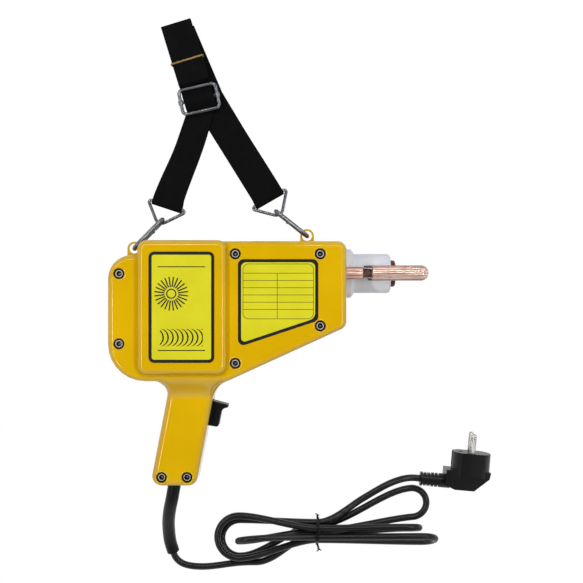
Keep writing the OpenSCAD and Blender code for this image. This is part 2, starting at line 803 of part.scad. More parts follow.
module nose_sleeve() {
    bore = stud_d / 2 + touch_gap;
    big = flange_d / 2;
    thin = sleeve_d / 2;
    color(white) translate([nose_x, nose_axis_y, 0]) difference() {
        translate([0, 0, stud_z]) rotate([0, 90, 0]) rotate_extrude($fn = round_fn)
            polygon(concat([[bore, -spigot_in], [spigot_d / 2, -spigot_in], [spigot_d / 2, touch_gap],
                            [big, touch_gap], [big, sleeve_flange_h - sleeve_flange_chamfer],
                            [big - sleeve_flange_chamfer, sleeve_flange_h], [thin, sleeve_flange_h]],
                           [for (k = [0:6]) let (a = k * 90 / 6)
                            [thin - sleeve_end_r + sleeve_end_r * cos(a),
                                sleeve_l - sleeve_end_r + sleeve_end_r * sin(a)]],
                           [[bore, sleeve_l]]));
        translate([0, 0, rod_z]) rod_x(tip_d + tip_room * 2, -spigot_in, sleeve_l + over);
    }
}

module stud_electrode() {
    color(copper) translate([nose_x, nose_axis_y, stud_z]) rotate([0, 90, 0])
        rotate_extrude($fn = round_fn)
        polygon([[0, -stud_in], [stud_d / 2, -stud_in],
                 [stud_d / 2, sleeve_l + stud_proud - stud_chamfer],
                 [stud_d / 2 - stud_chamfer, sleeve_l + stud_proud],
                 [stud_socket_d / 2, sleeve_l + stud_proud],
                 [stud_socket_d / 2, sleeve_l + stud_proud - stud_socket_l],
                 [0, sleeve_l + stud_proud - stud_socket_l]]);
}

module contact_rod() {
    color(copper) translate([nose_x, nose_axis_y, rod_z]) rotate([0, 90, 0])
        rotate_extrude($fn = round_fn)
        polygon([[0, -rod_in - over], [rod_d / 2, -rod_in - over], [rod_d / 2, rod_reach - rod_chamfer],
                 [rod_d / 2 - rod_chamfer, rod_reach], [neck_d / 2, rod_reach],
                 [neck_end_d / 2 - touch_gap, rod_reach + neck_l],
                 [tip_bore_d / 2 - touch_gap, rod_reach + neck_l + tip_bore_l - over],
                 [0, rod_reach + neck_l + tip_bore_l - over]]);
}

module contact_tip() {
    start = rod_reach + neck_l;
    round_x = tip_reach - tip_d / 2;
    color(copper) translate([nose_x, nose_axis_y, rod_z]) difference() {
        union() {
            rod_x(tip_d, start - ear_back + over, round_x);
            translate([round_x, 0, 0]) sphere(d = tip_d, $fn = round_fn);
        }
        translate([start - ear_back - over, -ear_gap / 2, -tip_d])
            cube([ear_back + over, ear_gap, tip_d * 2]);
        rod_x(tip_bore_d, start - over, start + tip_bore_l);
        rod_x(tip_hole_d, tip_reach - tip_hole_l, tip_reach + over);
        translate([start - ear_back, -tip_d, -tip_d]) cube([ear_back / 2, tip_d * 3 / 4, tip_d * 2]);
    }
}

// Trigger and what it works

module trigger() {
    top = trig_top;
    low = trig_top - trig_h;
    wall_in = grip_r - wall - trig_wall_gap;
    color(black) grip_frame() translate([0, 0, mid_z]) difference() {
        union() {
            translate([0, 0, -trig_t / 2]) linear_extrude(height = trig_t) difference() {
                polygon([[wall_in - trig_in, top], [grip_r, top], [grip_r + trig_lip, top - trig_lip_h],
                         [grip_r + trig_lip, top - trig_lip_h * 2],
                         [grip_r + trig_out, top - trig_lip_r - trig_lip_h],
                         [grip_r + trig_out, low + trig_lip_h * 3 / 2],
                         [grip_r + trig_out - trig_lip_h * 3 / 2, low],
                         [wall_in - trig_in, low]]);
                translate([grip_r + trig_out + trig_lip_r, top - trig_lip_h * 2 - trig_lip_r])
                    circle(r = trig_lip_r, $fn = round_fn);
            }
            translate([wall_in - trig_flange_t, low - trig_flange, -trig_t / 2 - trig_flange])
                cube([trig_flange_t, trig_h + trig_flange * 2, trig_t + trig_flange * 2]);
        }
        translate([wall_in - trig_in - over, (top + low) / 2, 0])
            rod_x(plunger_d + touch_gap * 2, 0, over + plunger_d);
    }
}

module switch_plunger() {
    wall_in = grip_r - wall - trig_wall_gap;
    color(white) grip_frame() translate([wall_in - trig_in, trig_top - trig_h / 2, mid_z])
        rod_x(plunger_d, -plunger_l, plunger_d - touch_gap);
}

module trigger_switch() {
    face = grip_r - wall - trig_wall_gap - trig_in - trigger_travel - run_gap;
    color(black) grip_frame()
        translate([face - switch_w, trig_top - trig_h / 2 - switch_l / 2, mid_z - switch_t / 2])
        difference() {
            cube([switch_w, switch_l, switch_t]);
            translate([0, switch_l / 2, switch_t / 2])
                rod_x(plunger_d + touch_gap * 2, switch_w - plunger_l - over, switch_w + over);
        }
}

// Board, terminals and cable

module timer_board() {
    color(green) difference() {
        translate([board_x, board_y, board_z]) cube([board_w, board_l, board_t]);
        for (x = [post_h, board_w - post_h]) for (y = [post_h, board_l - post_h])
            translate([board_x + x, board_y + y, board_z - over])
                cylinder(d = post_hole_d, h = board_t + over * 2, $fn = small_fn);
    }
}

module board_parts() {
    relay = [19, 15, 15];
    can = [8, 12];
    box = [12, 10, 9];
    top = board_z + board_t + touch_gap;
    color(black) {
        translate([board_x + post_h * 2, board_y + post_h / 2, top]) cube(relay);
        translate([board_x + board_w - can[0], board_y + can[1] * 3 / 2, top])
            cylinder(d = can[0], h = can[1], $fn = small_fn);
        translate([board_x + post_h * 2, board_y + board_l - box[1] - post_h / 4, top]) cube(box);
    }
}

module terminal_block() {
    deep = mid_z - grip_t / 2 + wall + touch_gap;
    color(white) grip_frame()
        translate([grip_c - terminal_w / 2, trig_top - trig_h - terminal_l * 5 / 3, deep])
        difference() {
            cube([terminal_w, terminal_l, terminal_t]);
            for (k = [1:3]) translate([k * terminal_w / 4, terminal_l / 2, terminal_t / 2])
                cylinder(d = terminal_l / 3, h = terminal_t, $fn = small_fn);
        }
}

module cable_clamp() {
    p = on_grip(clamp_at);
    color(black) translate([p[0], p[1], mid_z]) grip_frame() difference() {
        translate([-cable_clamp_w / 2, -cable_clamp_l / 2, -cord_d / 2 - cable_clamp_t])
            cube([cable_clamp_w, cable_clamp_l, cord_d + cable_clamp_t * 2]);
        rotate([90, 0, 0]) translate([0, 0, -cable_clamp_l])
            cylinder(d = cord_d + run_gap, h = cable_clamp_l * 2, $fn = small_fn);
        for (x = [-1, 1]) translate([x * cable_clamp_w / 3, 0, -grip_t / 2])
            cylinder(d = cable_clamp_t - over, h = grip_t, $fn = small_fn);
    }
}

module clamp_screws() {
    p = on_grip(clamp_at);
    shank = cable_clamp_t - over - touch_gap * 2;
    rise = cord_d / 2 + cable_clamp_t;
    color(steel) translate([p[0], p[1], mid_z]) grip_frame() for (x = [-1, 1])
        translate([x * cable_clamp_w / 3, 0, 0]) {
            translate([0, 0, -rise]) cylinder(d = shank, h = rise * 2 + over, $fn = small_fn);
            translate([0, 0, rise + touch_gap]) cylinder(d = shank * 2, h = shank / 2, $fn = small_fn);
        }
}

module inner_cable() {
    color(black) tube(concat([on_grip(cable_top), on_grip(clamp_at)], boot_route), cord_d / 2,
        cord_sides);
}

module cord_boot() {
    color(black) {
        sleeve_tube(boot_route, boot_d / 2, cord_d / 2 + run_gap, cord_sides);
        translate(boot_route[0]) grip_frame() rotate([90, 0, 0]) difference() {
            cylinder(d = boot_collar_d, h = boot_collar_h, $fn = round_fn);
            translate([0, 0, -over])
                cylinder(d = boot_d - over, h = boot_collar_h + over * 2, $fn = round_fn);
        }
    }
}

module cord_lead() {
    color(black) tube(lead_route, cord_d / 2, cord_sides);
}

module cord_tail() {
    color(black) tube(tail_route, cord_d / 2, cord_sides);
}

hank_row = pitch * sqrt(3) / 2;
hank_z = cord_d / 2;
waist_z = hank_z + tie_d + run_gap;
slots = [[-pitch / 2, waist_z], [pitch / 2, waist_z], [-pitch, waist_z + hank_row],
         [0, waist_z + hank_row], [pitch, waist_z + hank_row],
         [-pitch / 2, waist_z + hank_row * 2], [pitch / 2, waist_z + hank_row * 2]];
run_share = 0.85;
end_share = 0.9;
function slot_at(k) = [waist[0], waist[1] + slots[k][0], slots[k][1]];
function lobe_points(l) = let (
        u = [l[0] * cos(l[7]), sin(l[7]), 0],
        n = [-l[0] * sin(l[7]), cos(l[7]), 0],
        v = n * cos(l[8]) + [0, 0, sin(l[8])],
        c = [waist[0] + l[0] * l[3], waist[1] + l[4], l[5]],
        q0 = c + v * l[9] * l[6], q1 = c - v * l[9] * l[6],
        p0 = slot_at(l[1]), p1 = slot_at(l[2]), x = [l[0], 0, 0],
        m0 = norm(q0 - p0) * run_share, m1 = norm(q1 - p1) * run_share)
    concat(run(p0, x * m0, q0, u * m0, run_rings),
           [for (k = [1:cap_rings]) let (a = 180 * k / (cap_rings + 1))
               c + v * l[9] * l[6] * cos(a) + u * l[6] * sin(a)],
           head(run(q1, -u * m1, p1, -x * m1, run_rings), run_rings - 1));
hank_from = [waist[0] + hank_start[0], waist[1] + hank_start[1], hank_z];
hank_to = [waist[0] + hank_end[0], waist[1] + hank_end[1], hank_end_z];
hank_out = [cos(hank_end_turn), sin(hank_end_turn), 0];
hank_in_l = norm(slot_at(0) - hank_from);
hank_out_l = norm(slot_at(4) - hank_to) * end_share;
hank_points = concat(
    head(run(hank_from, [hank_in_l, 0, 0], slot_at(0), [hank_in_l, 0, 0], run_rings), run_rings - 1),
    [for (l = lobes) each lobe_points(l)],
    run(slot_at(4), [hank_out_l, 0, 0], hank_to, hank_out * hank_out_l, run_rings));
function along(p, i, sum = 0) = i == 0 ? sum : along(p, i - 1, sum + norm(p[i] - p[i - 1]));
function span_gap(a, b, c, d) = let (
        u = b - a, v = d - c, w = a - c, uu = u * u, vv = v * v, uv = u * v, uw = u * w, vw = v * w,
        den = max(uu * vv - uv * uv, 1 / 1000000),
        s = max(0, min(1, (uv * vw - vv * uw) / den)),
        t = max(0, min(1, (uv * s + vw) / vv)),
        s2 = max(0, min(1, (uv * t - uw) / uu)))
    norm(w + u * s2 - v * t);

module cord_hank() {
    n = len(hank_points);
    near = 6;
    gap = min([for (i = [0:n - 2]) for (j = [i + near:1:n - 2])
        span_gap(hank_points[i], hank_points[i + 1], hank_points[j], hank_points[j + 1])]) - cord_d;
    echo(hank_length = along(hank_points, n - 1), hank_gap = gap, hank_rings = n);
    color(black) tube(hank_points, cord_d / 2, hank_sides);
}

module tie_outline(out) {
    hull() for (p = slots) translate([p[0], p[1]]) circle(r = cord_d / 2 + run_gap + out, $fn = small_fn);
}

module cord_tie() {
    top = slots[5][1] + cord_d / 2 + run_gap;
    color(black) {
        translate([waist[0] - tie_w / 2, waist[1], 0]) rotate([90, 0, 90])
            linear_extrude(height = tie_w) difference() {
            tie_outline(tie_d);
            tie_outline(0);
        }
        translate([waist[0], waist[1], top + tie_d / 2]) rotate([0, 60, 60])
            cylinder(d = tie_tail_d, h = tie_tail_l, $fn = small_fn);
    }
}

// Plug

module plug_frame() {
    translate(plug_at) rotate([0, 0, plug_turn]) children();
}

module plug_body() {
    face = plug_body_l;
    base = [[-plug_d / 2, 0], [plug_d / 2, 0], [plug_d / 2 - over, -plug_face_h],
            [plug_d / 10, -plug_d / 2],
            [-plug_d * 2 / 5, -plug_d / 2], [-plug_d * 13 / 20, -plug_d * 2 / 5], [-plug_d * 13 / 20, 0]];
    color(black) plug_frame() difference() {
        union() {
            intersection() {
                translate([0, face, 0]) rotate([90, 0, 0])
                    cylinder(d = plug_d, h = face + plug_face_h, $fn = round_fn);
                translate([-plug_d, -plug_d, -plug_flat / 2]) cube([plug_d * 2, plug_d * 2, plug_flat]);
            }
            translate([0, 0, -base_t / 2]) linear_extrude(height = base_t) polygon(base);
            translate([-plug_d / 2, relief_y, 0]) rotate([0, -90, 0])
                cylinder(d = relief_d, h = relief_l + plug_d * 3 / 20, $fn = round_fn);
        }
        for (s = [-1, 1]) for (k = [0:relief_slots - 1])
            translate([-plug_d * 13 / 20 - relief_l + relief_pitch * (k + 3 / 4),
                relief_y + s * relief_d / 2, 0])
                cube([relief_slot, relief_slot_deep * 2, relief_d * 2], center = true);
        for (z = [-1, 1]) translate([0, face - pin_in, z * pin_gap / 2]) rotate([-90, 0, 0])
            cylinder(d = pin_d + touch_gap * 2, h = pin_in + over, $fn = small_fn);
        translate([-earth_hole_x, face - earth_hole_l, 0]) rotate([-90, 0, 0])
            cylinder(d = earth_hole_d, h = earth_hole_l + over, $fn = small_fn);
        for (x = [-1, 1]) translate([x * (plug_d / 2 - clip_t), face - clip_l / 2, 0])
            cube([clip_t * 4, clip_l + over * 2, clip_w + run_gap], center = true);
        translate([-plug_d * 13 / 20 - relief_l - over, relief_y, 0])
            rod_x(cord_d + run_gap, 0, relief_slot_deep * 3 + over);
    }
}

module plug_pins() {
    r = pin_d / 2;
    color(steel) plug_frame() for (z = [-1, 1]) translate([0, plug_body_l, z * pin_gap / 2])
        rotate([-90, 0, 0])
        rotate_extrude($fn = small_fn)
            polygon(concat([[0, -pin_in + touch_gap], [r - run_gap, -pin_in + touch_gap],
            [r - run_gap, run_gap], [r, run_gap]],
            [for (k = [0:5]) [r * cos(k * 90 / 6), pin_l - r + r * sin(k * 90 / 6)]], [[0, pin_l]]));
}

module earth_contacts() {
    color(steel) plug_frame() for (x = [-1, 1])
        translate([x * (plug_d / 2 - clip_t * 2), plug_body_l - clip_l / 2, 0])
            cube([clip_t, clip_l, clip_w], center = true);
}

// Sling

module sling_frame() {
    translate([lug_left[0], lug_left[1], lug_z]) rotate([0, 0, sling_skew]) rotate([-sling_sag, 0, 0])
        children();
}

// A hook's own frame: x from the lug hole to the ring, y up, leaning from the sling's plane to hang upright
module hook_frame(right) {
    sling_frame() translate([right ? sling_span : 0, 0, 0])
        rotate([0, 0, right ? 180 - hook_turn : hook_turn])
        rotate([right ? 90 - hook_lean : 90 + hook_lean, 0, 0]) children();
}

module hook() {
    r = hook_half;
    difference() {
        union() {
            translate([0, r, 0]) rod_x(hook_d, r, hook_l - r);
            translate([r, 0, 0]) rotate([0, 0, 90]) rotate_extrude(angle = 180, $fn = round_fn)
                translate([r, 0]) circle(d = hook_d, $fn = small_fn);
            translate([hook_l - r, 0, 0]) rotate([0, 0, -90]) rotate_extrude(angle = 180, $fn = round_fn)
                translate([r, 0]) circle(d = hook_d, $fn = small_fn);
            translate([0, -r, 0]) rod_x(hook_d, r, nose_stub);
            translate([0, -r, 0]) rod_x(hook_d, stub_start, hook_l - r);
            translate([tongue_start, -r - hook_d * 2 / 5, -tongue_t / 2])
                cube([stub_start - tongue_start + over, hook_d * 4 / 5, tongue_t]);
        }
        translate([gate_pivot, -r, -hook_d])
            cylinder(d = gate_pin_d + touch_gap, h = hook_d * 2, $fn = small_fn);
    }
}

module gate() {
    difference() {
        translate([0, -hook_half, 0]) rod_x(hook_d, gate_start, gate_end);
        translate([fork_start, -hook_half - hook_d, -tongue_t / 2 - fork_gap])
            cube([hook_l, hook_d * 2, tongue_t + fork_gap * 2]);
        translate([gate_pivot, -hook_half, -hook_d])
            cylinder(d = gate_pin_d + touch_gap * 2, h = hook_d * 2, $fn = small_fn);
    }
}

module hook_left() { color(steel) hook_frame(false) hook(); }
module hook_right() { color(steel) hook_frame(true) hook(); }
module gate_left() { color(steel) hook_frame(false) gate(); }
module gate_right() { color(steel) hook_frame(true) gate(); }

module gate_pins() {
    color(steel) for (right = [false, true]) hook_frame(right)
        translate([gate_pivot, -hook_half, -gate_pin_l / 2])
        cylinder(d = gate_pin_d, h = gate_pin_l, $fn = small_fn);
}

ring_pts = [[0, 0], [ring_h, -ring_bar / 2], [ring_h, ring_bar / 2]];
ring_rs = [ring_apex_r, ring_r, ring_r];
function ring_seat_at(right) = right
    ? [sling_span - ring_seat * cos(hook_turn), ring_seat * sin(hook_turn)]
    : [ring_seat * cos(hook_turn), ring_seat * sin(hook_turn)];
apex_slip = ring_apex_r / sin(atan2(ring_bar / 2, ring_h)) - ring_apex_r;

module ring_frame(right) {
    p = ring_seat_at(right);
    sling_frame() translate([p[0], p[1], 0]) rotate([0, 0, right ? ring_turn_right : ring_turn_left])
        translate([-apex_slip, 0, 0]) children();
}

module ring_left() { color(steel) ring_frame(false) wire_loop(ring_pts, ring_rs, ring_d); }
module ring_right() { color(steel) ring_frame(true) wire_loop(ring_pts, ring_rs, ring_d); }

// From the sling's plane into the shared frame
function sling_point(p) = let (y = p[1] * cos(sling_sag) + p[2] * sin(sling_sag),
        z = -p[1] * sin(sling_sag) + p[2] * cos(sling_sag), q = turned([p[0], y], sling_skew))
    [lug_left[0] + q[0], lug_left[1] + q[1], lug_z + z];
function bar_point(right, across, out, up) = let (p = ring_seat_at(right),
        q = turned([ring_h - apex_slip + out, across], right ? ring_turn_right : ring_turn_left))
    sling_point([p[0] + q[0], p[1] + q[1], up]);
wrap_r = ring_d / 2 + wrap_gap;
wrap_steps = 6;
fall_rate = 3 / 2;
flap_l = 14;
function leg_edge(right, s, goal, level) = let (
        flap = bar_point(right, s * web_w / 2, flap_l, -wrap_r),
        first = bar_point(right, s * web_w / 2, 0, -wrap_r),
        wrap = [for (k = [1:wrap_steps]) let (a = -90 - k * 180 / wrap_steps)
            bar_point(right, s * web_w / 2, wrap_r * cos(a), wrap_r * sin(a))],
        last = wrap[wrap_steps - 1],
        way = [for (k = [1:10]) let (u = k / 10)
            [last[0] + (goal[0] - last[0]) * u, last[1] + (goal[1] - last[1]) * u,
             last[2] + (level - last[2]) * smooth(min(1, u * fall_rate))]])
    concat([flap, first], wrap, way);

left_goal = [[-3.9, 188.3], [25.6, 197.2]];
right_goal = [[-3.4, 205], [30.4, 208.3]];
right_tail = [[-24.6, 261.3], [3, 273]];

module strap_left() {
    level = floor_gap + web_t + layer_gap;
    l = leg_edge(false, 1, left_goal[0], level);
    r = leg_edge(false, -1, left_goal[1], level);
    color(black) strip(l, r, web_t);
}

module strap_right() {
    l = concat(leg_edge(true, 1, right_goal[0], floor_gap),
        [[right_tail[0][0], right_tail[0][1], floor_gap]]);
    r = concat(leg_edge(true, -1, right_goal[1], floor_gap),
        [[right_tail[1][0], right_tail[1][1], floor_gap]]);
    color(black) strip(l, r, web_t);
}

module bundle_frame() {
    translate([bundle_x, bundle_y, 0]) rotate([0, 0, bundle_turn]) children();
}

bundle_z = floor_gap + (web_t + layer_gap) * 2;
buckle_z = bundle_z + web_t + layer_gap + buckle_d / 2;

// The spare webbing, folded to and fro, its lowest run led through the buckle over the bar
module strap_bundle() {
    step = web_t + layer_gap;
    rise = buckle_z + bar_d / 2 + run_gap - bundle_z;
    bump = buckle_l / 2;
    half = web_w / 2;
    xs = [for (k = [-10:10]) k / 10 * bump];
    bump_z = [for (x = xs) bundle_z + rise * pow(cos(90 * x / bump), 2)];
    line = concat([[-bump * 21 / 20, bundle_z]], [for (k = [0:20]) [xs[k], bump_z[k]]],
        [[bundle_start + bundle_l, bundle_z]]);
    color(black) bundle_frame() {
        strip([for (p = line) [p[0], half, p[1]]], [for (p = line) [p[0], -half, p[1]]], web_t);
        translate([0, half, 0]) rotate([90, 0, 0]) linear_extrude(height = web_w) {
            for (k = [1:layers - 1]) translate([bundle_start, bundle_z + step * k])
                square([bundle_l, web_t]);
            for (k = [0:layers - 2])
                translate([k % 2 == 0 ? bundle_start + bundle_l : bundle_start,
                    bundle_z + step * k + web_t + layer_gap / 2])
                difference() {
                    circle(r = web_t + layer_gap / 2, $fn = small_fn);
                    circle(r = layer_gap / 2, $fn = small_fn);
                    translate([k % 2 == 0 ? -web_t * 3 : 0, -web_t * 2]) square([web_t * 3, web_t * 4]);
                }
        }
    }
}

module strap_band() {
    low = bundle_z - run_gap / 2;
    high = bundle_z + layers * web_t + (layers - 1) * layer_gap + run_gap;
    color(tan_rubber) bundle_frame() translate([band_at, 0, low]) rotate([90, 0, 90])
        linear_extrude(height = band_w)
        difference() {
            translate([-web_w / 2 - run_gap - band_t, -band_t / 2])
                square([web_w + run_gap * 2 + band_t * 2, high - low + band_t * 3 / 2]);
            translate([-web_w / 2 - run_gap, -band_t]) square([web_w + run_gap * 2, high - low + band_t]);
        }
}

buckle_turn = 4.5;
buckle_pts = [[-buckle_l / 2, -buckle_w / 2], [buckle_l / 2, -buckle_w / 2],
              [buckle_l / 2, buckle_w / 2], [-buckle_l / 2, buckle_w / 2]];
buckle_rs = [buckle_r, buckle_r, buckle_r, buckle_r];

module buckle_frame() {
    color(steel) bundle_frame() translate([0, 0, buckle_z]) rotate([0, 0, -buckle_turn])
        wire_loop(buckle_pts, buckle_rs, buckle_d);
}

module buckle_bar() {
    color(steel) bundle_frame() translate([0, 0, buckle_z]) rotate([0, 0, -buckle_turn]) difference() {
        union() {
            rotate([0, 0, 90]) rod_x(bar_d, -buckle_w / 2, buckle_w / 2);
            for (y = [-1, 1]) translate([0, y * buckle_w / 2, 0])
                rod_x(bar_collar_d, -bar_collar_l / 2, bar_collar_l / 2);
        }
        for (y = [-1, 1]) translate([0, y * buckle_w / 2, 0])
            rod_x(buckle_d + touch_gap * 2, -bar_collar_l, bar_collar_l);
    }
}

front_shell();
rear_shell();
case_screws();
thread_inserts();
block_label();
panel_label();
transformer_core();
core_bolts();
bobbin();
primary_winding();
secondary_winding();
rod_clamp();
electrode_clamp();
nose_sleeve();
stud_electrode();
contact_rod();
contact_tip();
trigger();
switch_plunger();
trigger_switch();
timer_board();
board_parts();
terminal_block();
cable_clamp();
clamp_screws();
inner_cable();
cord_boot();
cord_lead();
cord_hank();
cord_tail();
cord_tie();
plug_body();
plug_pins();
earth_contacts();
strap_left();
strap_right();
strap_bundle();
strap_band();
buckle_frame();
buckle_bar();
ring_left();
ring_right();
hook_left();
hook_right();
gate_left();
gate_right();
gate_pins();
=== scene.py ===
"""Looks of a hand-held stud welder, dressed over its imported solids.

Sizes are written in millimetres and put into the meshes in metres, in the solids' own frame:
x to the nose, y along the transformer block, z up from the table it lies on.
"""

import math

import bmesh
import bpy
import numpy as np
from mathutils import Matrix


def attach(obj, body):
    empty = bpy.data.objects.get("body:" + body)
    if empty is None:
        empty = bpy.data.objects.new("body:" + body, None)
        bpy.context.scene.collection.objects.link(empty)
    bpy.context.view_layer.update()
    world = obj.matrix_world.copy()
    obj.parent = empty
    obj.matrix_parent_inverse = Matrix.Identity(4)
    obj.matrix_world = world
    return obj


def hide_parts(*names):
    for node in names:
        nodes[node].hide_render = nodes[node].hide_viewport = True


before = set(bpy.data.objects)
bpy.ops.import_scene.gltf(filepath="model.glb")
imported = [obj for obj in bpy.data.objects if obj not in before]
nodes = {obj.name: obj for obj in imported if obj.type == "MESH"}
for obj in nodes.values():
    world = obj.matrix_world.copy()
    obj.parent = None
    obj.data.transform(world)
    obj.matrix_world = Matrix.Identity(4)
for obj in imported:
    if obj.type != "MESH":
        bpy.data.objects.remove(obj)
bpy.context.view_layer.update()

MM = 0.001
TURN = 2 * np.pi
OFF_AXIS = (0.31, 0.17, 0.93)


def put(name, data):
    """A new object of the scene."""
    made = bpy.data.objects.new(name, data)
    bpy.context.scene.collection.objects.link(made)
    return made


# Camera, as the photograph was taken: straight down on the welder

PHOTO_PIXELS = 583
PHOTO_FOCAL_PIXELS = 1128
SENSOR = 36
CAMERA_AT = (0.098, 0.014, 1.1)
NEAREST, FURTHEST = 0.05, 20
eye = bpy.data.cameras.new("eye")
eye.sensor_width = SENSOR
eye.lens = SENSOR * PHOTO_FOCAL_PIXELS / PHOTO_PIXELS
eye.clip_start, eye.clip_end = NEAREST, FURTHEST
camera = put("eye", eye)
camera.location = CAMERA_AT
bpy.context.scene.camera = camera
bpy.context.scene.view_settings.view_transform = "Standard"


# Shapes

def unit(v):
    """Each vector of an array divided by its own length."""
    v = np.asarray(v, float)
    return v / np.linalg.norm(v, axis=-1, keepdims=True)


def grid_faces(rows, cols, around=True, closed=False):
    """Four-cornered faces between neighbours of a grid, joined round its columns and, if closed, its rows."""
    i, j = np.meshgrid(np.arange(rows if closed else rows - 1),
                       np.arange(cols if around else cols - 1), indexing="ij")
    down, right = (i + 1) % rows, (j + 1) % cols
    quads = np.stack([i * cols + j, i * cols + right, down * cols + right, down * cols + j], -1)
    return quads.reshape(-1, 4).tolist()


def skin_faces(rows, cols):
    """Faces of a skin closed round its columns, with a many-cornered face on its first and last ring."""
    ring = np.arange(cols)
    return grid_faces(rows, cols) + [ring[::-1].tolist(), (ring + (rows - 1) * cols).tolist()]


def carried(path):
    """Tangent, normal and side along a path. The normal starts square to a vector that no path follows. The
    turn that it makes about the path, beyond the path's own bending, is summed up and taken off again."""
    t = unit(np.gradient(path, axis=0))
    n = unit(np.cross(np.cross(t, OFF_AXIS), t))
    both, dot = t[:-1] + t[1:], (t[:-1] * t[1:]).sum(-1)
    moved = n[:-1] - ((n[:-1] * t[1:]).sum(-1) / (1 + dot))[:, None] * both
    extra = np.arctan2((t[1:] * np.cross(moved, n[1:])).sum(-1), (moved * n[1:]).sum(-1))
    turn = np.concatenate([[0], np.cumsum(extra)])[:, None]
    n = n * np.cos(turn) - np.cross(t, n) * np.sin(turn)
    return t, n, np.cross(t, n)


def tube(path, radius, sides, order=None):
    """A circle of a given radius carried along a path, over its stations in a given order."""
    order = np.arange(len(path)) if order is None else order
    _, n, b = (v[order] for v in carried(path))
    a = np.arange(sides) * TURN / sides
    ring = np.cos(a)[None, :, None] * n[:, None] + np.sin(a)[None, :, None] * b[:, None]
    size = np.broadcast_to(radius, len(order))[:, None, None]
    points = path[order][:, None] + size * ring
    return points.reshape(-1, 3), skin_faces(len(order), sides)


def smooth_route(points, per_span):
    """A curve through chosen points: cubic spans, whose slope at a point is half the step across it."""
    p = np.asarray(points, float)
    slope = np.gradient(p, axis=0)
    u = (np.arange(per_span) / per_span)[None, :, None]
    a, b, ta, tb = (x[:, None] for x in (p[:-1], p[1:], slope[:-1], slope[1:]))
    curve = hermite(a, ta, b, tb, u).reshape(-1, 3)
    return np.vstack([curve, p[-1:]])


def hermite(a, ta, b, tb, u):
    """The cubic from a to b that leaves with slope ta and arrives with slope tb."""
    leaving = a * (2 * u**3 - 3 * u**2 + 1) + ta * (u**3 - 2 * u**2 + u)
    return leaving + b * (3 * u**2 - 2 * u**3) + tb * (u**3 - u**2)


def along(path):
    """Length of a path from its start to each of its points."""
    return np.concatenate([[0], np.cumsum(np.linalg.norm(np.diff(path, axis=0), axis=1))])


def even(path, step):
    """The same path with points an even step apart."""
    s = along(path)
    at = np.linspace(0, s[-1], int(round(s[-1] / step)) + 1)
    return np.stack([np.interp(at, s, path[:, k]) for k in range(3)], -1)


def heading(degrees):
    """Cosine and sine of an angle."""
    return math.cos(math.radians(degrees)), math.sin(math.radians(degrees))


def turn_x(degrees):
    """A turn about x."""
    c, s = heading(degrees)
    return np.array([[1, 0, 0], [0, c, -s], [0, s, c]])


def turn_z(degrees):
    """A turn about z."""
    c, s = heading(degrees)
    return np.array([[c, -s, 0], [s, c, 0], [0, 0, 1]])


def rounded_loop(corners, radii, steps):
    """A closed outline of straight sides with an arc of its own radius at each corner."""
    p = np.asarray(corners, float)
    before, after = unit(p - np.roll(p, 1, 0)), unit(np.roll(p, -1, 0) - p)
    bend = np.arctan2(before[:, 0] * after[:, 1] - before[:, 1] * after[:, 0], (before * after).sum(-1))
    r = np.asarray(radii, float)[:, None]
    left = np.stack([-before[:, 1], before[:, 0]], -1)
    centre = p - before * r * np.tan(np.abs(bend) / 2)[:, None] + left * r * np.sign(bend)[:, None]
    a = bend[:, None] * np.linspace(0, 1, steps + 1)[None]
    spoke = -left * np.sign(bend)[:, None]
    x = spoke[:, 0, None] * np.cos(a) - spoke[:, 1, None] * np.sin(a)
    y = spoke[:, 0, None] * np.sin(a) + spoke[:, 1, None] * np.cos(a)
    return (centre[:, None] + r[:, None] * np.stack([x, y], -1)).reshape(-1, 2)


def loop_wire(outline, profile):
    """A closed outline in the xy plane with a small profile carried round it: out of the loop, and up."""
    p, profile = outline, profile[::-1]
    t = unit(np.roll(p, -1, 0) - np.roll(p, 1, 0))
    out = np.stack([t[:, 1], -t[:, 0], np.zeros(len(p))], -1)
    base = np.column_stack([p, np.zeros(len(p))])
    across, up = profile[None, :, :1], profile[None, :, 1:]
    points = base[:, None] + across * out[:, None] + up * np.array([0, 0, 1.0])
    return points.reshape(-1, 3), grid_faces(len(p), len(profile), closed=True)


def round_profile(across, up, sides):
    """An ellipse of given half sizes."""
    a = np.arange(sides) * TURN / sides
    return np.stack([across * np.cos(a), up * np.sin(a)], -1)


def ribbon(left, right, thick, flat_steps=10, edge_steps=5):
    """A strap between two edge lines: at each station a flat band with half-round edges, standing up from the
    lines by the strap's thickness. Its map gives the place across and along the strap, in metres."""
    left, right = np.asarray(left, float), np.asarray(right, float)
    across = left - right
    up = unit(np.cross(np.gradient(left, axis=0) + np.gradient(right, axis=0), across))
    half = np.linalg.norm(across, axis=1) / 2
    way = unit(across)
    s = np.linspace(1, -1, flat_steps + 1)
    a = np.linspace(0, np.pi, edge_steps + 2)[1:-1]
    flat = half[:, None] - thick / 2
    edge = thick / 2 * np.sin(a)
    wide = np.hstack([flat * s, -flat - edge, -flat * s, flat + edge])
    high = thick / 2 * np.concatenate([s * 0 + 1, np.cos(a), s * 0 - 1, -np.cos(a)])
    middle = (left + right) / 2 + up * thick / 2
    points = middle[:, None] + wide[:, :, None] * way[:, None] + high[None, :, None] * up[:, None]
    cols = len(high)
    v = np.broadcast_to(along(middle)[:, None], wide.shape)
    chart = np.stack([wide, v], -1).reshape(-1, 2) * MM
    return points.reshape(-1, 3), skin_faces(len(left), cols), chart


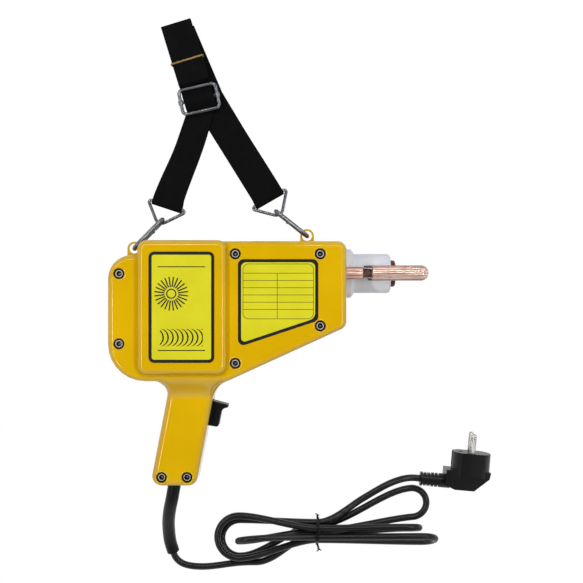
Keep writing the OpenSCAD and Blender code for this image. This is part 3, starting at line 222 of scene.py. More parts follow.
def spun(profile, sides):
    """A profile of radius and height turned about z; a radius may be a function of the angle."""
    a = np.arange(sides) * TURN / sides
    r = np.stack([p[0](a) if callable(p[0]) else np.full(sides, p[0]) for p in profile])
    z = np.broadcast_to(np.array([p[1] for p in profile], float)[:, None], r.shape)
    points = np.stack([r * np.cos(a), r * np.sin(a), z], -1)
    return points.reshape(-1, 3), skin_faces(len(profile), sides)


def joined(parts):
    """Several shapes as one list of points and faces."""
    start, points, faces = 0, [], []
    for p, f in parts:
        points.append(p)
        faces += [[k + start for k in q] for q in f]
        start += len(p)
    return np.vstack(points), faces


# Pieces

SPECK = 0.0001
FLAT_WITHIN, BEVEL_FROM = 0.6, 38


def piece(name, shape, finish, body="case", replaces=(), chart=None, smooth_angle=40):
    """A mesh object at the origin, of points in millimetres and faces, dressed and set to ride on a body."""
    points, faces = shape[:2]
    mesh = bpy.data.meshes.new(name)
    mesh.from_pydata((np.asarray(points) * MM).tolist(), [], faces)
    if chart is not None:
        corner = np.empty(len(mesh.loops), np.int32)
        mesh.loops.foreach_get("vertex_index", corner)
        layer = mesh.uv_layers.new(name="chart")
        layer.data.foreach_set("uv", np.asarray(chart, np.float32)[corner].ravel())
    work = bmesh.new()
    work.from_mesh(mesh)
    bmesh.ops.dissolve_degenerate(work, dist=SPECK * MM, edges=work.edges)
    work.to_mesh(mesh)
    work.free()
    return placed(name, mesh, finish, body, replaces, smooth_angle)


def placed(name, mesh, finish, body, replaces, smooth_angle):
    """Puts a mesh into the scene with its finish, its body and the solids that it stands for."""
    mesh.validate()
    mesh.shade_smooth()
    mesh.set_sharp_from_angle(angle=math.radians(smooth_angle))
    mesh.materials.append(finishes[finish])
    made = put(name, mesh)
    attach(made, body)
    if replaces:
        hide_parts(*replaces)
    return made


def skin_of(node, finish, body, slot, smooth_angle=40, bevel=0):
    """A smooth skin over one solid: corners merged, edges softened if asked, normals weighted by area."""
    name, mesh = node + "_skin", nodes[node].data
    co = np.empty(len(mesh.vertices) * 3, np.float32)
    mesh.vertices.foreach_get("co", co)
    mesh.calc_loop_triangles()
    tri = np.empty(len(mesh.loop_triangles) * 3, np.int32)
    mesh.loop_triangles.foreach_get("vertices", tri)
    points, where = np.unique(np.round(co.reshape(-1, 3).astype(float), 7), axis=0, return_inverse=True)
    tri = where.ravel()[tri].reshape(-1, 3)
    tri = tri[(tri[:, 0] != tri[:, 1]) & (tri[:, 1] != tri[:, 2]) & (tri[:, 2] != tri[:, 0])]
    copy = bpy.data.meshes.new(name)
    copy.from_pydata(points.tolist(), [], tri.tolist())
    if bevel:
        work = bmesh.new()
        work.from_mesh(copy)
        flat = math.radians(FLAT_WITHIN)
        bmesh.ops.dissolve_limit(work, angle_limit=flat, verts=work.verts, edges=work.edges)
        work.to_mesh(copy)
        work.free()
    made = placed(name, copy, finish, body, (node,), smooth_angle)
    if bevel:
        soft = made.modifiers.new("soft_edges", "BEVEL")
        soft.width, soft.segments, soft.limit_method = bevel * MM, 2, "ANGLE"
        soft.angle_limit, soft.use_clamp_overlap = math.radians(BEVEL_FROM), True
    return level_faces(made)


def level_faces(made):
    """Weights the normals by area, so that flat faces shade flat beside small rounded edges."""
    level = made.modifiers.new("flat_faces_flat", "WEIGHTED_NORMAL")
    level.mode, level.keep_sharp = "FACE_AREA", True
    return made


# Finishes

def srgb(red, green, blue):
    """A colour as it looks on a screen, out of 255, as the shader's linear colour."""
    c = np.array([red, green, blue]) / 255
    return (*np.where(c <= 0.04045, c / 12.92, ((c + 0.055) / 1.055) ** 2.4).tolist(), 1.0)


def feed(socket, value):
    """Links a socket to a tone, or sets its value."""
    if isinstance(value, Tone):
        value.tree.links.new(value.socket, socket)
    else:
        socket.default_value = value


def operation(kind, turned=False):
    """A method that adds a Math node of one kind; turned puts the other value first."""
    def method(self, other=0.0):
        a, b = (other, self) if turned else (self, other)
        return self.node("ShaderNodeMath", {"operation": kind}, {0: a, 1: b})
    return method


class Tone:
    """One socket of a finish. Arithmetic on it adds Math nodes to the same finish."""

    __add__ = __radd__ = operation("ADD")
    __mul__ = __rmul__ = operation("MULTIPLY")
    __sub__, __rsub__ = operation("SUBTRACT"), operation("SUBTRACT", True)
    __truediv__, __rtruediv__ = operation("DIVIDE"), operation("DIVIDE", True)
    __mod__, __pow__ = operation("FLOORED_MODULO"), operation("POWER")
    __abs__, sine, square_root = operation("ABSOLUTE"), operation("SINE"), operation("SQRT")
    least, most, angle_with = operation("MINIMUM"), operation("MAXIMUM"), operation("ARCTAN2")

    def __init__(self, socket):
        self.socket, self.tree = socket, socket.id_data

    def node(self, kind, settings=None, inputs=None, out=0):
        """Adds a node: its type, its settings, and the values or links of its sockets."""
        made = self.tree.nodes.new(kind)
        for key, value in (settings or {}).items():
            setattr(made, key, value)
        for key, value in (inputs or {}).items():
            feed(made.inputs[key], value)
        return Tone(made.outputs[out])

    def root(self):
        return self.most(0.0).square_root()

    def step(self, low, high):
        """0 below low, 1 above high and a smooth rise between them; turned round where low is above high."""
        settings = {"interpolation_type": "SMOOTHSTEP"}
        return self.node("ShaderNodeMapRange", settings, {0: self, 1: low, 2: high})

    def tint(self, first, second):
        """The first colour where this is 0 and the second where it is 1: tones, or colours of a screen."""
        a, b = (c if isinstance(c, Tone) else srgb(*c) for c in (first, second))
        return self.node("ShaderNodeMix", {"data_type": "RGBA"}, {0: self, 6: a, 7: b}, out=2)

    def axis(self, k):
        return self.node("ShaderNodeSeparateXYZ", None, {0: self}, out=k)

    def scaled(self, x, y, z):
        return self.node("ShaderNodeVectorMath", {"operation": "MULTIPLY"}, {0: self, 1: (x, y, z)})

    def noise(self, scale, detail=2.0):
        return self.node("ShaderNodeTexNoise", None, {"Vector": self, "Scale": scale, "Detail": detail})


finishes = {}


def begin(name, chart=False):
    """Starts a finish and gives the place on a piece in millimetres, in the shared frame or on its map."""
    material = finishes[name] = bpy.data.materials.new(name)
    material.use_nodes = True
    source = material.node_tree.nodes.new("ShaderNodeUVMap" if chart else "ShaderNodeTexCoord")
    if chart:
        source.uv_map = "chart"
    return Tone(source.outputs["UV" if chart else "Object"]).scaled(1000, 1000, 1000)


def dress(place, colour, roughness, metallic=0.0, height=None, depth=0.0, **constants):
    """Ends a finish: what varies goes to colour, roughness, metallic and a bump of a depth in millimetres."""
    shader = place.tree.nodes["Principled BSDF"]
    values = {"Base Color": colour, "Roughness": roughness, "Metallic": metallic, **constants}
    if height is not None:
        bump = {"Height": height, "Distance": depth * MM, "Strength": 1.0}
        values["Normal"] = place.node("ShaderNodeBump", None, bump)
    for key, value in values.items():
        feed(shader.inputs[key.replace("_", " ")], value)


def rounded_box(x, y, middle, half, radius):
    """Distance outside a rounded box: the distance past its straight part, less the corner's radius."""
    qx, qy = abs(x - middle[0]) - (half[0] - radius), abs(y - middle[1]) - (half[1] - radius)
    past = (qx.most(0.0) ** 2.0 + qy.most(0.0) ** 2.0).root()
    return past + qx.most(qy).least(0.0) - radius


def line_at(value, width):
    """1 within half a width of zero, with a soft edge."""
    return abs(value).step(width / 2 + INK_SOFT, width / 2 - INK_SOFT)


ROD_Y, ROD_Z, NECK_X = 31, 63, 167.7
NAVY = (5, 6, 34)
INK_SOFT, FILM_CORNER = 0.06, 5


def shell_yellow():
    """Sprayed yellow enamel: slow drift of its tone, a fine orange peel and a few dull specks."""
    p = begin("shell_yellow")
    drift, peel, fine = p.noise(0.014, 3), p.noise(0.5, 2), p.noise(3.5, 1)
    speck = p.noise(1.3, 4).step(0.68, 0.8)
    colour = drift.step(0.3, 0.7).tint((215, 170, 2), (223, 178, 5))
    colour = (speck * 0.16).tint(colour, (170, 126, 0))
    dress(p, colour, 0.09 + drift * 0.03 + speck * 0.1, height=peel + fine * 0.12, depth=0.004)


def printed_film(name, drawing):
    """A lemon film with a navy print: fine ink grain, a faint tooth and a slightly worn gloss."""
    p = begin(name)
    ink = drawing(p.axis(0), p.axis(1))
    grain, drift, tooth = p.noise(2.6, 2), p.noise(0.03, 2), p.noise(5.0, 1)
    field = drift.step(0.3, 0.7).tint((210, 204, 24), (218, 212, 34))
    field = (grain.step(0.45, 0.75) * 0.35).tint(field, (192, 184, 30))
    body = (ink * (0.93 + grain * 0.1)).tint(field, NAVY)
    dress(p, body, 0.36 + grain * 0.12 - ink * 0.05, height=tooth * 0.4 + ink * 0.6, depth=0.02,
          Specular_IOR_Level=0.2)


def block_print(x, y):
    """A border, a bead of arcs one pitch apart, and a fan of short strokes: plain workshop ornament."""
    half, bead_r, pitch, strokes = (29.25, 49.5), 8, 4.4, 24
    edge = rounded_box(x, y, (0, 0), half, FILM_CORNER).step(-2.9, -2.7)
    bead_y = y + 27
    bow = x - (bead_r**2 - bead_y * bead_y).root()
    arcs = line_at((bow % pitch) - pitch / 2, 1.4)
    ripple = arcs * abs(bead_y).step(7.8, 7.6) * abs(x).step(19.2, 19.0)
    fx, fy = x + 9, y - 12
    reach = (fx * fx + fy * fy).root()
    swing = fy.angle_with(fx)
    stroke = line_at(((swing * strokes / TURN) % 1.0 - 0.5) * reach * TURN / strokes, 1.2)
    fan = stroke * reach.step(6.0, 6.2) * reach.step(15.2, 15.0)
    core = line_at(reach - 4.0, 1.1)
    rules = line_at(y + 38.5, 0.9).most(line_at(y - 36, 0.9)) * abs(x).step(21.2, 21.0)
    return edge.most(ripple).most(fan).most(core).most(rules)


def panel_print(x, y):
    """A border that follows the film's four sides, and a blank ruled table with rounded corners."""
    left, right, top, low_left, slope = 50, 122, 43, -36, 24 / 72
    border, corner, rule, row = 2.8, 4.5, 0.6, 6.5
    low = (y - low_left - (x - left) * slope) / math.hypot(1, slope)
    past = [(border + corner - gap).most(0.0) ** 2.0 for gap in (x - left, right - x, top - y, low)]
    edge = (past[0] + past[1] + past[2] + past[3]).root().step(corner - 0.1, corner + 0.1)
    table = rounded_box(x, y, (86.1, 14.1), (31.6, 24.6), FILM_CORNER)
    rows = line_at(y - 30.4, rule)
    for k in range(5):
        rows = rows.most(line_at(y - 23.9 + k * row, rule))
    split = line_at(x - 85.2, rule) * y.step(30.5, 30.3)
    ruled = line_at(table, rule).most(rows.most(split) * table.step(0.1, -0.1))
    return edge.most(ruled * 0.8)


def plated(name, tone, dull, scale):
    """Plated metal: soft clouding of its gloss, and fine scuffs."""
    p = begin(name)
    cloud, scuff = p.noise(0.2, 2), p.noise(scale, 3)
    dark = 0.84 * np.array(tone)
    dress(p, cloud.step(0.25, 0.75).tint(dark, tone), dull + scuff * 0.1 + cloud * 0.04, 0.92,
          height=scuff, depth=0.0006)


def socket_head():
    """Blackened steel, a bright ring round the socket that is partly wear and partly a painted highlight, and
    painted shade and light in the socket. The map's first number is the radius.
    """
    p = begin("socket_head", chart=True)
    reach, scuff = p.axis(0), p.noise(0.9, 3)
    # The bright ring is partly wear and partly a painted highlight.
    worn = reach.step(2.45, 2.6) * reach.step(3.25, 3.1) * (0.7 + scuff * 0.5)
    # Painted shade on the socket's walls, and painted light on its floor.
    socket_shade_and_light = reach.step(1.2, 0.8).tint((9, 9, 10), (120, 120, 124))
    dark = reach.step(2.3, 2.0).tint((30, 29, 30), socket_shade_and_light)
    dress(p, worn.tint(dark, (206, 203, 198)), 0.34 + scuff * 0.16 - worn * 0.12, 0.8 - worn * 0.6,
          height=scuff, depth=0.006)


def drawn_copper():
    """Copper drawn through a die: flutes round the rod's axis, painted highlight streaks, painted shade on
    its flanks and its neck, and a heat stain.
    """
    p = begin("drawn_copper")
    swing = (p.axis(1) - ROD_Y).angle_with(p.axis(2) - ROD_Z)
    streak_and_highlight = p.scaled(0.03, 2.2, 2.2).noise(1.0, 4)
    fine = p.scaled(0.02, 8.0, 8.0).noise(1.0, 3)
    flute = (swing * 22 + streak_and_highlight * 2.5).sine()
    stain = p.noise(0.1, 3).step(0.5, 0.75)
    # Painted highlight: the tone rises to near white along the drawn streaks and the flutes.
    colour = (flute * 0.16 + streak_and_highlight).step(0.32, 0.64).tint((186, 92, 48), (255, 240, 228))
    colour = (stain * 0.3).tint(colour, (140, 76, 46))
    # Painted shade: darker brown on the rod's sides, turned away from the top.
    flank_shade = abs((swing / (TURN / 4)).least(1.0).most(-1.0)).step(0.42, 0.8)
    # Painted shade: the narrow neck is darkened almost to black.
    neck_shade = abs(p.axis(0) - NECK_X).step(4.2, 3.8)
    colour = (flank_shade * 0.8).tint(colour, (112, 54, 16))
    colour = (neck_shade * 0.92).tint(colour, (60, 32, 18))
    dress(p, colour, 0.2 + fine * 0.2, 0.78, height=flute * 0.7 + streak_and_highlight * 0.6, depth=0.16)


def clouded(name, first, second, cloud, grain, dull, worn, metallic=0.0):
    """Soft clouds of two tones under a fine grain: copper gone brown in the heat, or dusty amber rubber."""
    p = begin(name)
    fine = p.noise(grain, 2)
    colour = p.noise(*cloud).step(0.3, 0.7).tint(first, second)
    dress(p, colour, dull + fine * worn, metallic, height=fine, depth=0.02)


def turned_white():
    """White nylon off a lathe: fine rings along the nose and a slow drift of its tone."""
    p = begin("turned_white")
    lathe = (p.axis(0) * 5.2).sine() * 0.5 + p.scaled(3.0, 0.2, 0.2).noise(1.0, 2)
    cloud = p.noise(0.06, 3)
    colour = cloud.step(0.3, 0.7).tint((232, 237, 249), (241, 245, 254))
    dress(p, colour, 0.36 + cloud * 0.12, height=lathe, depth=0.01)


def dark_moulding(name, tone, lift, dull, grain_scale, depth, gloss=0.35):
    """Dark plastic or rubber: a fine spark-eroded grain, slow shading, and grey rubbed spots."""
    p = begin(name)
    grain, cloud = p.noise(grain_scale, 2), p.noise(0.05, 3)
    rubbed = p.noise(0.4, 4).step(0.6, 0.8)
    colour = (cloud.step(0.3, 0.7) * 0.6 + rubbed * 0.3).tint(tone, lift)
    dress(p, colour, dull + grain * 0.1 - rubbed * 0.04, height=grain, depth=depth, Specular_IOR_Level=gloss)


def webbing():
    """Woven strap: ribs of warp, crossed by weft that swaps sides from rib to rib, and a raised hem."""
    warp, pick = 1.4, 0.9
    p = begin("webbing", chart=True)
    across, length = p.axis(0), p.axis(1)
    rib = (across * (TURN / warp)).sine()
    swap = (across * (TURN / (2 * warp))).sine().step(-0.2, 0.2) * math.pi
    weft = (length * (TURN / pick) + swap).sine()
    fuzz = p.noise(2.4, 3)
    hem = abs(across).step(13.4, 13.9)
    height = (rib * 0.6 + weft * 0.5 + fuzz * 0.5) * (1 - hem * 0.5) + hem * 0.6
    # Painted highlight: the high tops of the threads are drawn lighter than the black webbing.
    thread = (weft * 0.25 + rib * 0.25 + 0.5).step(0.2, 0.9)
    colour = thread.tint((4, 4, 5), (14, 14, 15))
    colour = (p.noise(0.06, 3).step(0.45, 0.75) * 0.4).tint(colour, (16, 16, 18))
    dress(p, colour, 0.75 + fuzz * 0.2, height=height, depth=0.045, Specular_IOR_Level=0.08)


def laminated_iron():
    """Thin iron plates seen on edge, with some rust."""
    p = begin("laminated_iron")
    plate_t = 0.5
    plate = (p.axis(2) * (TURN / plate_t)).sine()
    rust = p.noise(0.1, 4).step(0.55, 0.75)
    colour = plate.step(-0.3, 0.3).tint((58, 60, 64), (98, 100, 106))
    colour = (rust * 0.5).tint(colour, (104, 72, 50))
    dress(p, colour, 0.42 + rust * 0.3, 0.85, height=plate, depth=0.05)


def wound_wire():
    """Varnished copper wire, turn beside turn, with painted shade between the turns and a painted highlight
    on their crests.
    """
    p = begin("wound_wire")
    wire_d = 1.2
    turn = (p.axis(1) * (TURN / wire_d)).sine()
    varnish = p.noise(0.2, 3)
    # Painted shade in the grooves between turns, and a painted highlight on each turn's crest.
    colour = turn.step(-0.6, 0.4).tint((92, 42, 20), (178, 94, 46))
    dress(p, colour, 0.26 + varnish * 0.18, 0.7, height=turn, depth=0.25)


def board_green():
    """A circuit board: tracks both ways, in patches."""
    p = begin("board_green")
    x, y = p.axis(0), p.axis(1)
    lines = line_at((x % 3.2) - 1.6, 0.7).most(line_at((y % 4.4) - 2.2, 0.6))
    track = lines * p.noise(0.2, 1).step(0.42, 0.5)
    colour = track.tint((18, 84, 46), (48, 128, 70))
    dress(p, colour, 0.34 + p.noise(1.4, 2) * 0.12, height=track, depth=0.03)


shell_yellow()
printed_film("block_film", block_print)
printed_film("panel_film", panel_print)
plated("screw_steel", (150, 152, 158), 0.24, 2.0)
plated("bright_wire", (122, 125, 132), 0.24, 1.6)
socket_head()
plated("pin_nickel", (206, 204, 200), 0.26, 1.6)
plated("brass", (206, 168, 84), 0.2, 1.8)
drawn_copper()
clouded("dull_copper", (58, 32, 20), (104, 58, 34), (0.16, 4), 2.2, 0.36, 0.2, 0.8)
turned_white()
dark_moulding("trigger_black", (8, 9, 12), (20, 22, 27), 0.32, 3.0, 0.012, 0.2)
dark_moulding("cord_black", (5, 5, 7), (12, 13, 15), 0.3, 6.0, 0.001, 0.4)
dark_moulding("boot_black", (4, 4, 5), (12, 12, 14), 0.34, 2.0, 0.012, 0.2)
dark_moulding("plug_black", (5, 5, 6), (15, 15, 18), 0.3, 2.6, 0.01, 0.25)
dark_moulding("inner_black", (22, 22, 24), (44, 44, 48), 0.5, 2.2, 0.03)
webbing()
clouded("rubber_band", (124, 94, 46), (158, 126, 72), (0.5, 3), 4.0, 0.5, 0.15)
laminated_iron()
wound_wire()
board_green()


# Mains cord: out of the boot, along the table, seven strands tied into a hank, and up to the plug

CORD_D, CORD_SIDES, CORD_STEP = 6.5, 18, 2.0
GRIP_LEAN, GRIP_C, GRIP_Z = 10.9, 20.5, 48


def on_grip(down):
    """A point on the grip's middle line, so far along it."""
    return (turn_z(-GRIP_LEAN) @ np.array([GRIP_C, down, 0]) + (0, 0, GRIP_Z)).tolist()


def beside_grip(across, y):
    """A point so far across the grip, at a given height of the picture."""
    c, s = heading(GRIP_LEAN)
    return (across + s * y) / c, y


boot_points = [on_grip(-143), on_grip(-154), on_grip(-166), (-13.6, -179, 45.5), (-16.8, -192, 37),
               (-19, -204.5, 26.5), (-19.6, -216, 17.5), (-19, -227, 11), (-16.6, -237, 7.4)]
lead_points = [(-16.5, -237.4, 7.3), (-15.4, -242, 5.6), (-12.4, -246.6, 4.4), (-7.6, -250.2, 3.6),
               (-1, -252.3, 3.3), (7, -253.2, 3.3), (16, -253.2, 3.3), (26, -252.2, 3.3),
               (36, -250.8, 3.3), (46, -249.6, 3.3), (55.6, -249, 3.25)]
tail_points = [(173.2, -183.3, 5), (181, -178.7, 5), (190, -173.6, 6), (199, -169.2, 8.8),
               (207.4, -166.2, 12.4), (215, -165.1, 15), (221.6, -165.7, 15), (227.2, -166.2, 15)]

WAIST = np.array([123.0, -217.0])
PITCH, TIE_T, TIE_GAP = 8.4, 1.1, 0.3
ROW = PITCH * math.sqrt(3) / 2
WAIST_Z = CORD_D / 2 + TIE_T + TIE_GAP
SLOTS = np.array([(-PITCH / 2, WAIST_Z), (PITCH / 2, WAIST_Z), (-PITCH, WAIST_Z + ROW), (0, WAIST_Z + ROW),
                  (PITCH, WAIST_Z + ROW), (-PITCH / 2, WAIST_Z + 2 * ROW), (PITCH / 2, WAIST_Z + 2 * ROW)])
# side, slot in, slot out, reach, offset, height, radius, lean, tilt, first half
LOBES = [(1, 0, 6, 88, 3.5, 13.5, 10, 0, 75, -1), (-1, 6, 2, 76, -6, 10.4, 20.5, 0, 0, 1),
         (1, 2, 5, 101, -7, 15.5, 12, 0, 66, -1), (-1, 5, 3, 66, -7, 19.5, 10, -6, 75, 1),
         (1, 3, 1, 92, 26, 3.3, 14, 5, 0, -1), (-1, 1, 4, 75, -8.5, 3.25, 17.5, 0, 0, -1)]
RUN_SHARE, END_SHARE, END_TURN = 0.85, 0.9, 31
RUN_STEPS, CAP_STEPS, END_STEPS = 40, 24, 30
HANK_FROM, HANK_TO, HANK_TO_Z = (-60, -32), (44, 30), 5


def slot_point(k):
    """A strand's place where the hank is tied."""
    return np.array([WAIST[0], WAIST[1] + SLOTS[k, 0], SLOTS[k, 1]])


def span(a, ta, b, tb, count):
    """Points of one cubic, its last point left to the next span."""
    return hermite(a, ta, b, tb, (np.arange(count) / count)[:, None])


def lobe(side, first_slot, last_slot, reach, offset, height, radius, lean, tilt, first):
    """One loop of the hank: a cubic out from its slot, half a circle in a tilted plane, and a cubic back."""
    c, s = heading(lean)
    u, n = np.array([side * c, s, 0]), np.array([-side * s, c, 0])
    flat, rise = heading(tilt)
    v = n * flat + np.array([0, 0, rise])
    middle = np.array([WAIST[0] + side * reach, WAIST[1] + offset, height])
    q0, q1 = middle + v * first * radius, middle - v * first * radius
    p0, p1, x = slot_point(first_slot), slot_point(last_slot), np.array([side, 0, 0])
    m0, m1 = np.linalg.norm(q0 - p0) * RUN_SHARE, np.linalg.norm(q1 - p1) * RUN_SHARE
    a = (np.arange(CAP_STEPS) / CAP_STEPS * np.pi)[:, None]
    cap = middle + v * first * radius * np.cos(a) + u * radius * np.sin(a)
    there = span(p0, x * m0, q0, u * m0, RUN_STEPS)
    back = span(q1, -u * m1, p1, -x * m1, RUN_STEPS)
    return np.vstack([there, cap, back])


def hank():
    """The whole tied part, strand by strand."""
    start = np.array([*(WAIST + HANK_FROM), CORD_D / 2])
    end = np.array([*(WAIST + HANK_TO), HANK_TO_Z])
    into = np.array([np.linalg.norm(slot_point(0) - start), 0, 0])
    out = np.linalg.norm(slot_point(4) - end) * END_SHARE
    away = np.array([*heading(END_TURN), 0])
    first = span(start, into, slot_point(0), into, END_STEPS)
    last = span(slot_point(4), np.array([out, 0, 0]), end, away * out, END_STEPS)
    return np.vstack([first, *(lobe(*row) for row in LOBES), last, end[None]])


boot_line = smooth_route(boot_points, 10)
inside_boot = smooth_route(boot_points[-3:], 8)[8:-1]
cord_line = np.vstack([inside_boot, smooth_route(lead_points, 8), hank(), smooth_route(tail_points, 8)])
cord_line = even(cord_line, CORD_STEP)
mains_cord = piece("mains_cord", tube(cord_line, CORD_D / 2, CORD_SIDES), "cord_black",
                   replaces=("cord_lead", "cord_hank", "cord_tail"))

cable_line = smooth_route([on_grip(-122), on_grip(-130), on_grip(-136), *boot_points[:-2]], 6)
piece("inner_cable_skin", tube(cable_line, CORD_D / 2, CORD_SIDES), "cord_black",
      replaces=("inner_cable",))

BOOT_R, BOOT_LIP_R, BOOT_BORE, BOOT_SIDES = 6.0, 3.7, 3.6, 28
BOOT_ROOT, BOOT_ROOT_STEPS, BOOT_LIP_OUT = 0.25, 12, 0.7
BOOT_FLANGE = [(5.6, 0), (9, 0), (9, 3.2), (8.6, 3.6), (5.6, 3.6)]


def boot():
    """The strain relief: a sleeve along its route, its lip rounded over into a bore that runs back inside,
    and the flange at its root."""
    n, lip, back = len(boot_line), 8, 29
    a = np.linspace(0, np.pi / 2, lip + 1)[1:]
    order = np.concatenate([np.arange(n), np.full(lip, n - 1), np.arange(n - 1, n - 1 - back, -1)])
    over = BOOT_LIP_R + (BOOT_R - BOOT_LIP_R) * np.cos(a)
    radius = np.concatenate([np.full(n, BOOT_R), over, np.full(back, BOOT_BORE)])
    radius[:BOOT_ROOT_STEPS] += BOOT_ROOT
    points, faces = tube(boot_line, radius, BOOT_SIDES, order)
    t = unit(np.gradient(boot_line, axis=0))[-1]
    push = np.zeros(len(order))
    push[n:n + lip] = BOOT_LIP_OUT * np.sin(a)
    points = points + (push[:, None, None] * t).repeat(BOOT_SIDES, 1).reshape(-1, 3)
    ring = spun(BOOT_FLANGE, 32)
    lay = turn_z(-GRIP_LEAN) @ turn_x(90)
    return joined([(points, faces), (ring[0] @ lay.T + boot_points[0], ring[1])])


piece("cord_boot_skin", boot(), "boot_black", replaces=("cord_boot",))

TIE_STEPS, TIE_SIDES, TIE_HALF = 120, 12, 0.7
TIE_SLANT, TIE_LEAD, TIE_APART = 1.3, 0.5, 0.2
WIRE_R, WIRE_APART, WIRE_SPLAY, SPLAY_FROM = 0.55, 0.6, 9, 0.6


def tie_band():
    """A covered wire wound twice round the strands: the outline is the furthest strand in each direction plus
    its radius. The two turns cross over the top, and the second lies a little further out to each side."""
    a = np.arange(TIE_STEPS) * TURN / TIE_STEPS
    ray = np.stack([np.cos(a), np.sin(a)], -1)
    far = SLOTS[np.argmax(SLOTS @ ray.T, axis=0)]
    outline = far + ray * (CORD_D / 2 + TIE_GAP + TIE_T / 2)
    profile = round_profile(TIE_T / 2, TIE_HALF, TIE_SIDES)
    parts = []
    for side in (1, -1):
        points, faces = loop_wire(outline + (1 - side) * TIE_APART * ray * (1, 0), profile)
        slant = side * TIE_SLANT * np.cos(a - np.pi / 2 + side * TIE_LEAD).repeat(TIE_SIDES)
        x, y, z = points[:, 2] + slant + WAIST[0], points[:, 0] + WAIST[1], points[:, 1]
        parts.append((np.stack([x, y, z], -1), faces))
    return joined(parts)


def twisted(start, aim, length, turns):
    """Two wires twisted about one line, then splayed: each a helix whose radius grows at the free end."""
    s = np.linspace(0, 1, 60)[:, None]
    side = unit(np.cross(aim, (0, 0, 1)))
    other = np.cross(aim, side)
    spread = WIRE_APART + WIRE_SPLAY * np.clip(s - SPLAY_FROM, 0, 1) ** 2
    parts = []
    for phase in (0, np.pi):
        turn = s * turns * TURN + phase
        line = start + length * s * aim + spread * (np.cos(turn) * side + np.sin(turn) * other)
        parts.append(tube(line, WIRE_R, 10))
    return joined(parts)


def tie_ends():
    """The tie's own ends: a long twist out to one side and a short one to the other."""
    out = PITCH + CORD_D / 2 + TIE_GAP + TIE_T / 2
    near = np.array([WAIST[0], WAIST[1] - out, WAIST_Z + ROW])
    return joined([twisted(near, unit(np.array([0.25, -1, 0.2])), 6.5, 1.5),
                   twisted(near + (0, 2 * out, 0), unit(np.array([-0.05, 1, 0.3])), 4, 0.9)])


cord_tie = piece("cord_tie_skin", joined([tie_band(), tie_ends()]), "boot_black",
                 replaces=("cord_tie",))


# Strap: two legs from their rings, the spare length folded, tied and held by the buckle

LUG_LEFT, LUG_RIGHT, LUG_Z = np.array([-48.6, 54.1]), np.array([112.5, 65.8]), 46.5
SPAN = float(np.linalg.norm(LUG_RIGHT - LUG_LEFT))
SKEW = math.degrees(math.atan2(*(LUG_RIGHT - LUG_LEFT)[::-1]))
SAG, HOOK_TURN, RING_SEAT = 20, 45, 34.2
RING_BAR, RING_H, RING_APEX, RING_R, RING_D = 40.4, 22.5, 6.4, 2, 3
RING_TURN_LEFT, RING_TURN_RIGHT = 66, 118
SLIP = RING_APEX / math.sin(math.atan2(RING_BAR / 2, RING_H)) - RING_APEX
WEB_W, WEB_T, LAYER_GAP, FLAP_L, FLAP_TAPER = 30, 1.6, 0.4, 14, 0.14
WRAP_R = RING_D / 2 + 0.45
LEG_STEPS, TAIL_STEPS, FALL_RATE = 60, 12, 1.5
sling = turn_z(SKEW) @ turn_x(-SAG)


def sling_point(p):
    """From the sling's own plane into the shared frame."""
    return np.asarray(p) @ sling.T + (*LUG_LEFT, LUG_Z)


def ring_place(right, p):
    """From a ring's own plane, its apex in the hook, into the shared frame."""
    turn = turn_z(RING_TURN_RIGHT if right else RING_TURN_LEFT)
    seat = RING_SEAT * math.cos(math.radians(HOOK_TURN))
    at = np.array([SPAN - seat if right else seat, seat, 0])
    return sling_point((np.asarray(p, float) - (SLIP, 0, 0)) @ turn.T + at)


def leg(right, side, goal, level):
    """One edge of a leg: a sewn flap, a half turn round the ring's bar, then a smooth fall to the table."""
    across = side * WEB_W / 2
    a = np.radians(-90 - np.linspace(0, 180, 15))
    bar = ring_place(right, np.stack([RING_H + WRAP_R * np.cos(a), a * 0 + across, WRAP_R * np.sin(a)], -1))
    u = (np.arange(1, LEG_STEPS + 1) / LEG_STEPS)[:, None]
    fall = np.clip(u * FALL_RATE, 0, 1)
    fall = fall * fall * (3 - 2 * fall)
    last = bar[-1]
    way = np.hstack([last[:2] + (np.array(goal) - last[:2]) * u, last[2] + (level - last[2]) * fall])
    lateral = unit(ring_place(right, (RING_H, side, 0)) - ring_place(right, (RING_H, 0, 0)))
    flap = np.linspace(FLAP_L, 0, 8)[:-1, None] * (unit(way[6] - last) - FLAP_TAPER * lateral)
    return np.vstack([bar[0] + flap, bar, way])


def tail_end(edge, goal, level):
    """The edge carried on flat to where the webbing runs under the bundle."""
    u = (np.arange(1, TAIL_STEPS + 1) / TAIL_STEPS)[:, None]
    flat = edge[-1, :2] + (np.array(goal) - edge[-1, :2]) * u
    return np.vstack([edge, np.hstack([flat, u * 0 + level])])


LOW = 0.4
HIGH = LOW + WEB_T + LAYER_GAP
left_leg = ribbon(leg(False, 1, (-3.9, 188.3), HIGH), leg(False, -1, (25.6, 197.2), HIGH), WEB_T)
right_leg = ribbon(tail_end(leg(True, 1, (-3.4, 205), LOW), (-24.6, 261.3), LOW),
                   tail_end(leg(True, -1, (30.4, 208.3), LOW), (3, 273), LOW), WEB_T)

BUNDLE_AT, BUNDLE_TURN, BUNDLE_Z = np.array([8.5, 200.4, 0]), 107, LOW + 2 * (WEB_T + LAYER_GAP)
BUNDLE_START, BUNDLE_L, LAYERS = 17, 58, 4
BUCKLE_L, BUCKLE_W, BUCKLE_R, BUCKLE_TURN, BUCKLE_WIRE_R = 24, 36, 4, -4.5, 1.7
BUCKLE_Z = BUNDLE_Z + WEB_T + LAYER_GAP + BUCKLE_WIRE_R
BAR_R, BAR_GAP = 1.5, 0.3
BAND_AT, BAND_HALF_T, BAND_HALF_W, BAND_R, BAND_GAP, BAND_UNDER = 38.9, 0.6, 0.9, 0.8, 0.3, 0.05


def in_bundle(p):
    """From the folded strap's own frame into the shared one."""
    return np.asarray(p) @ turn_z(BUNDLE_TURN).T + BUNDLE_AT


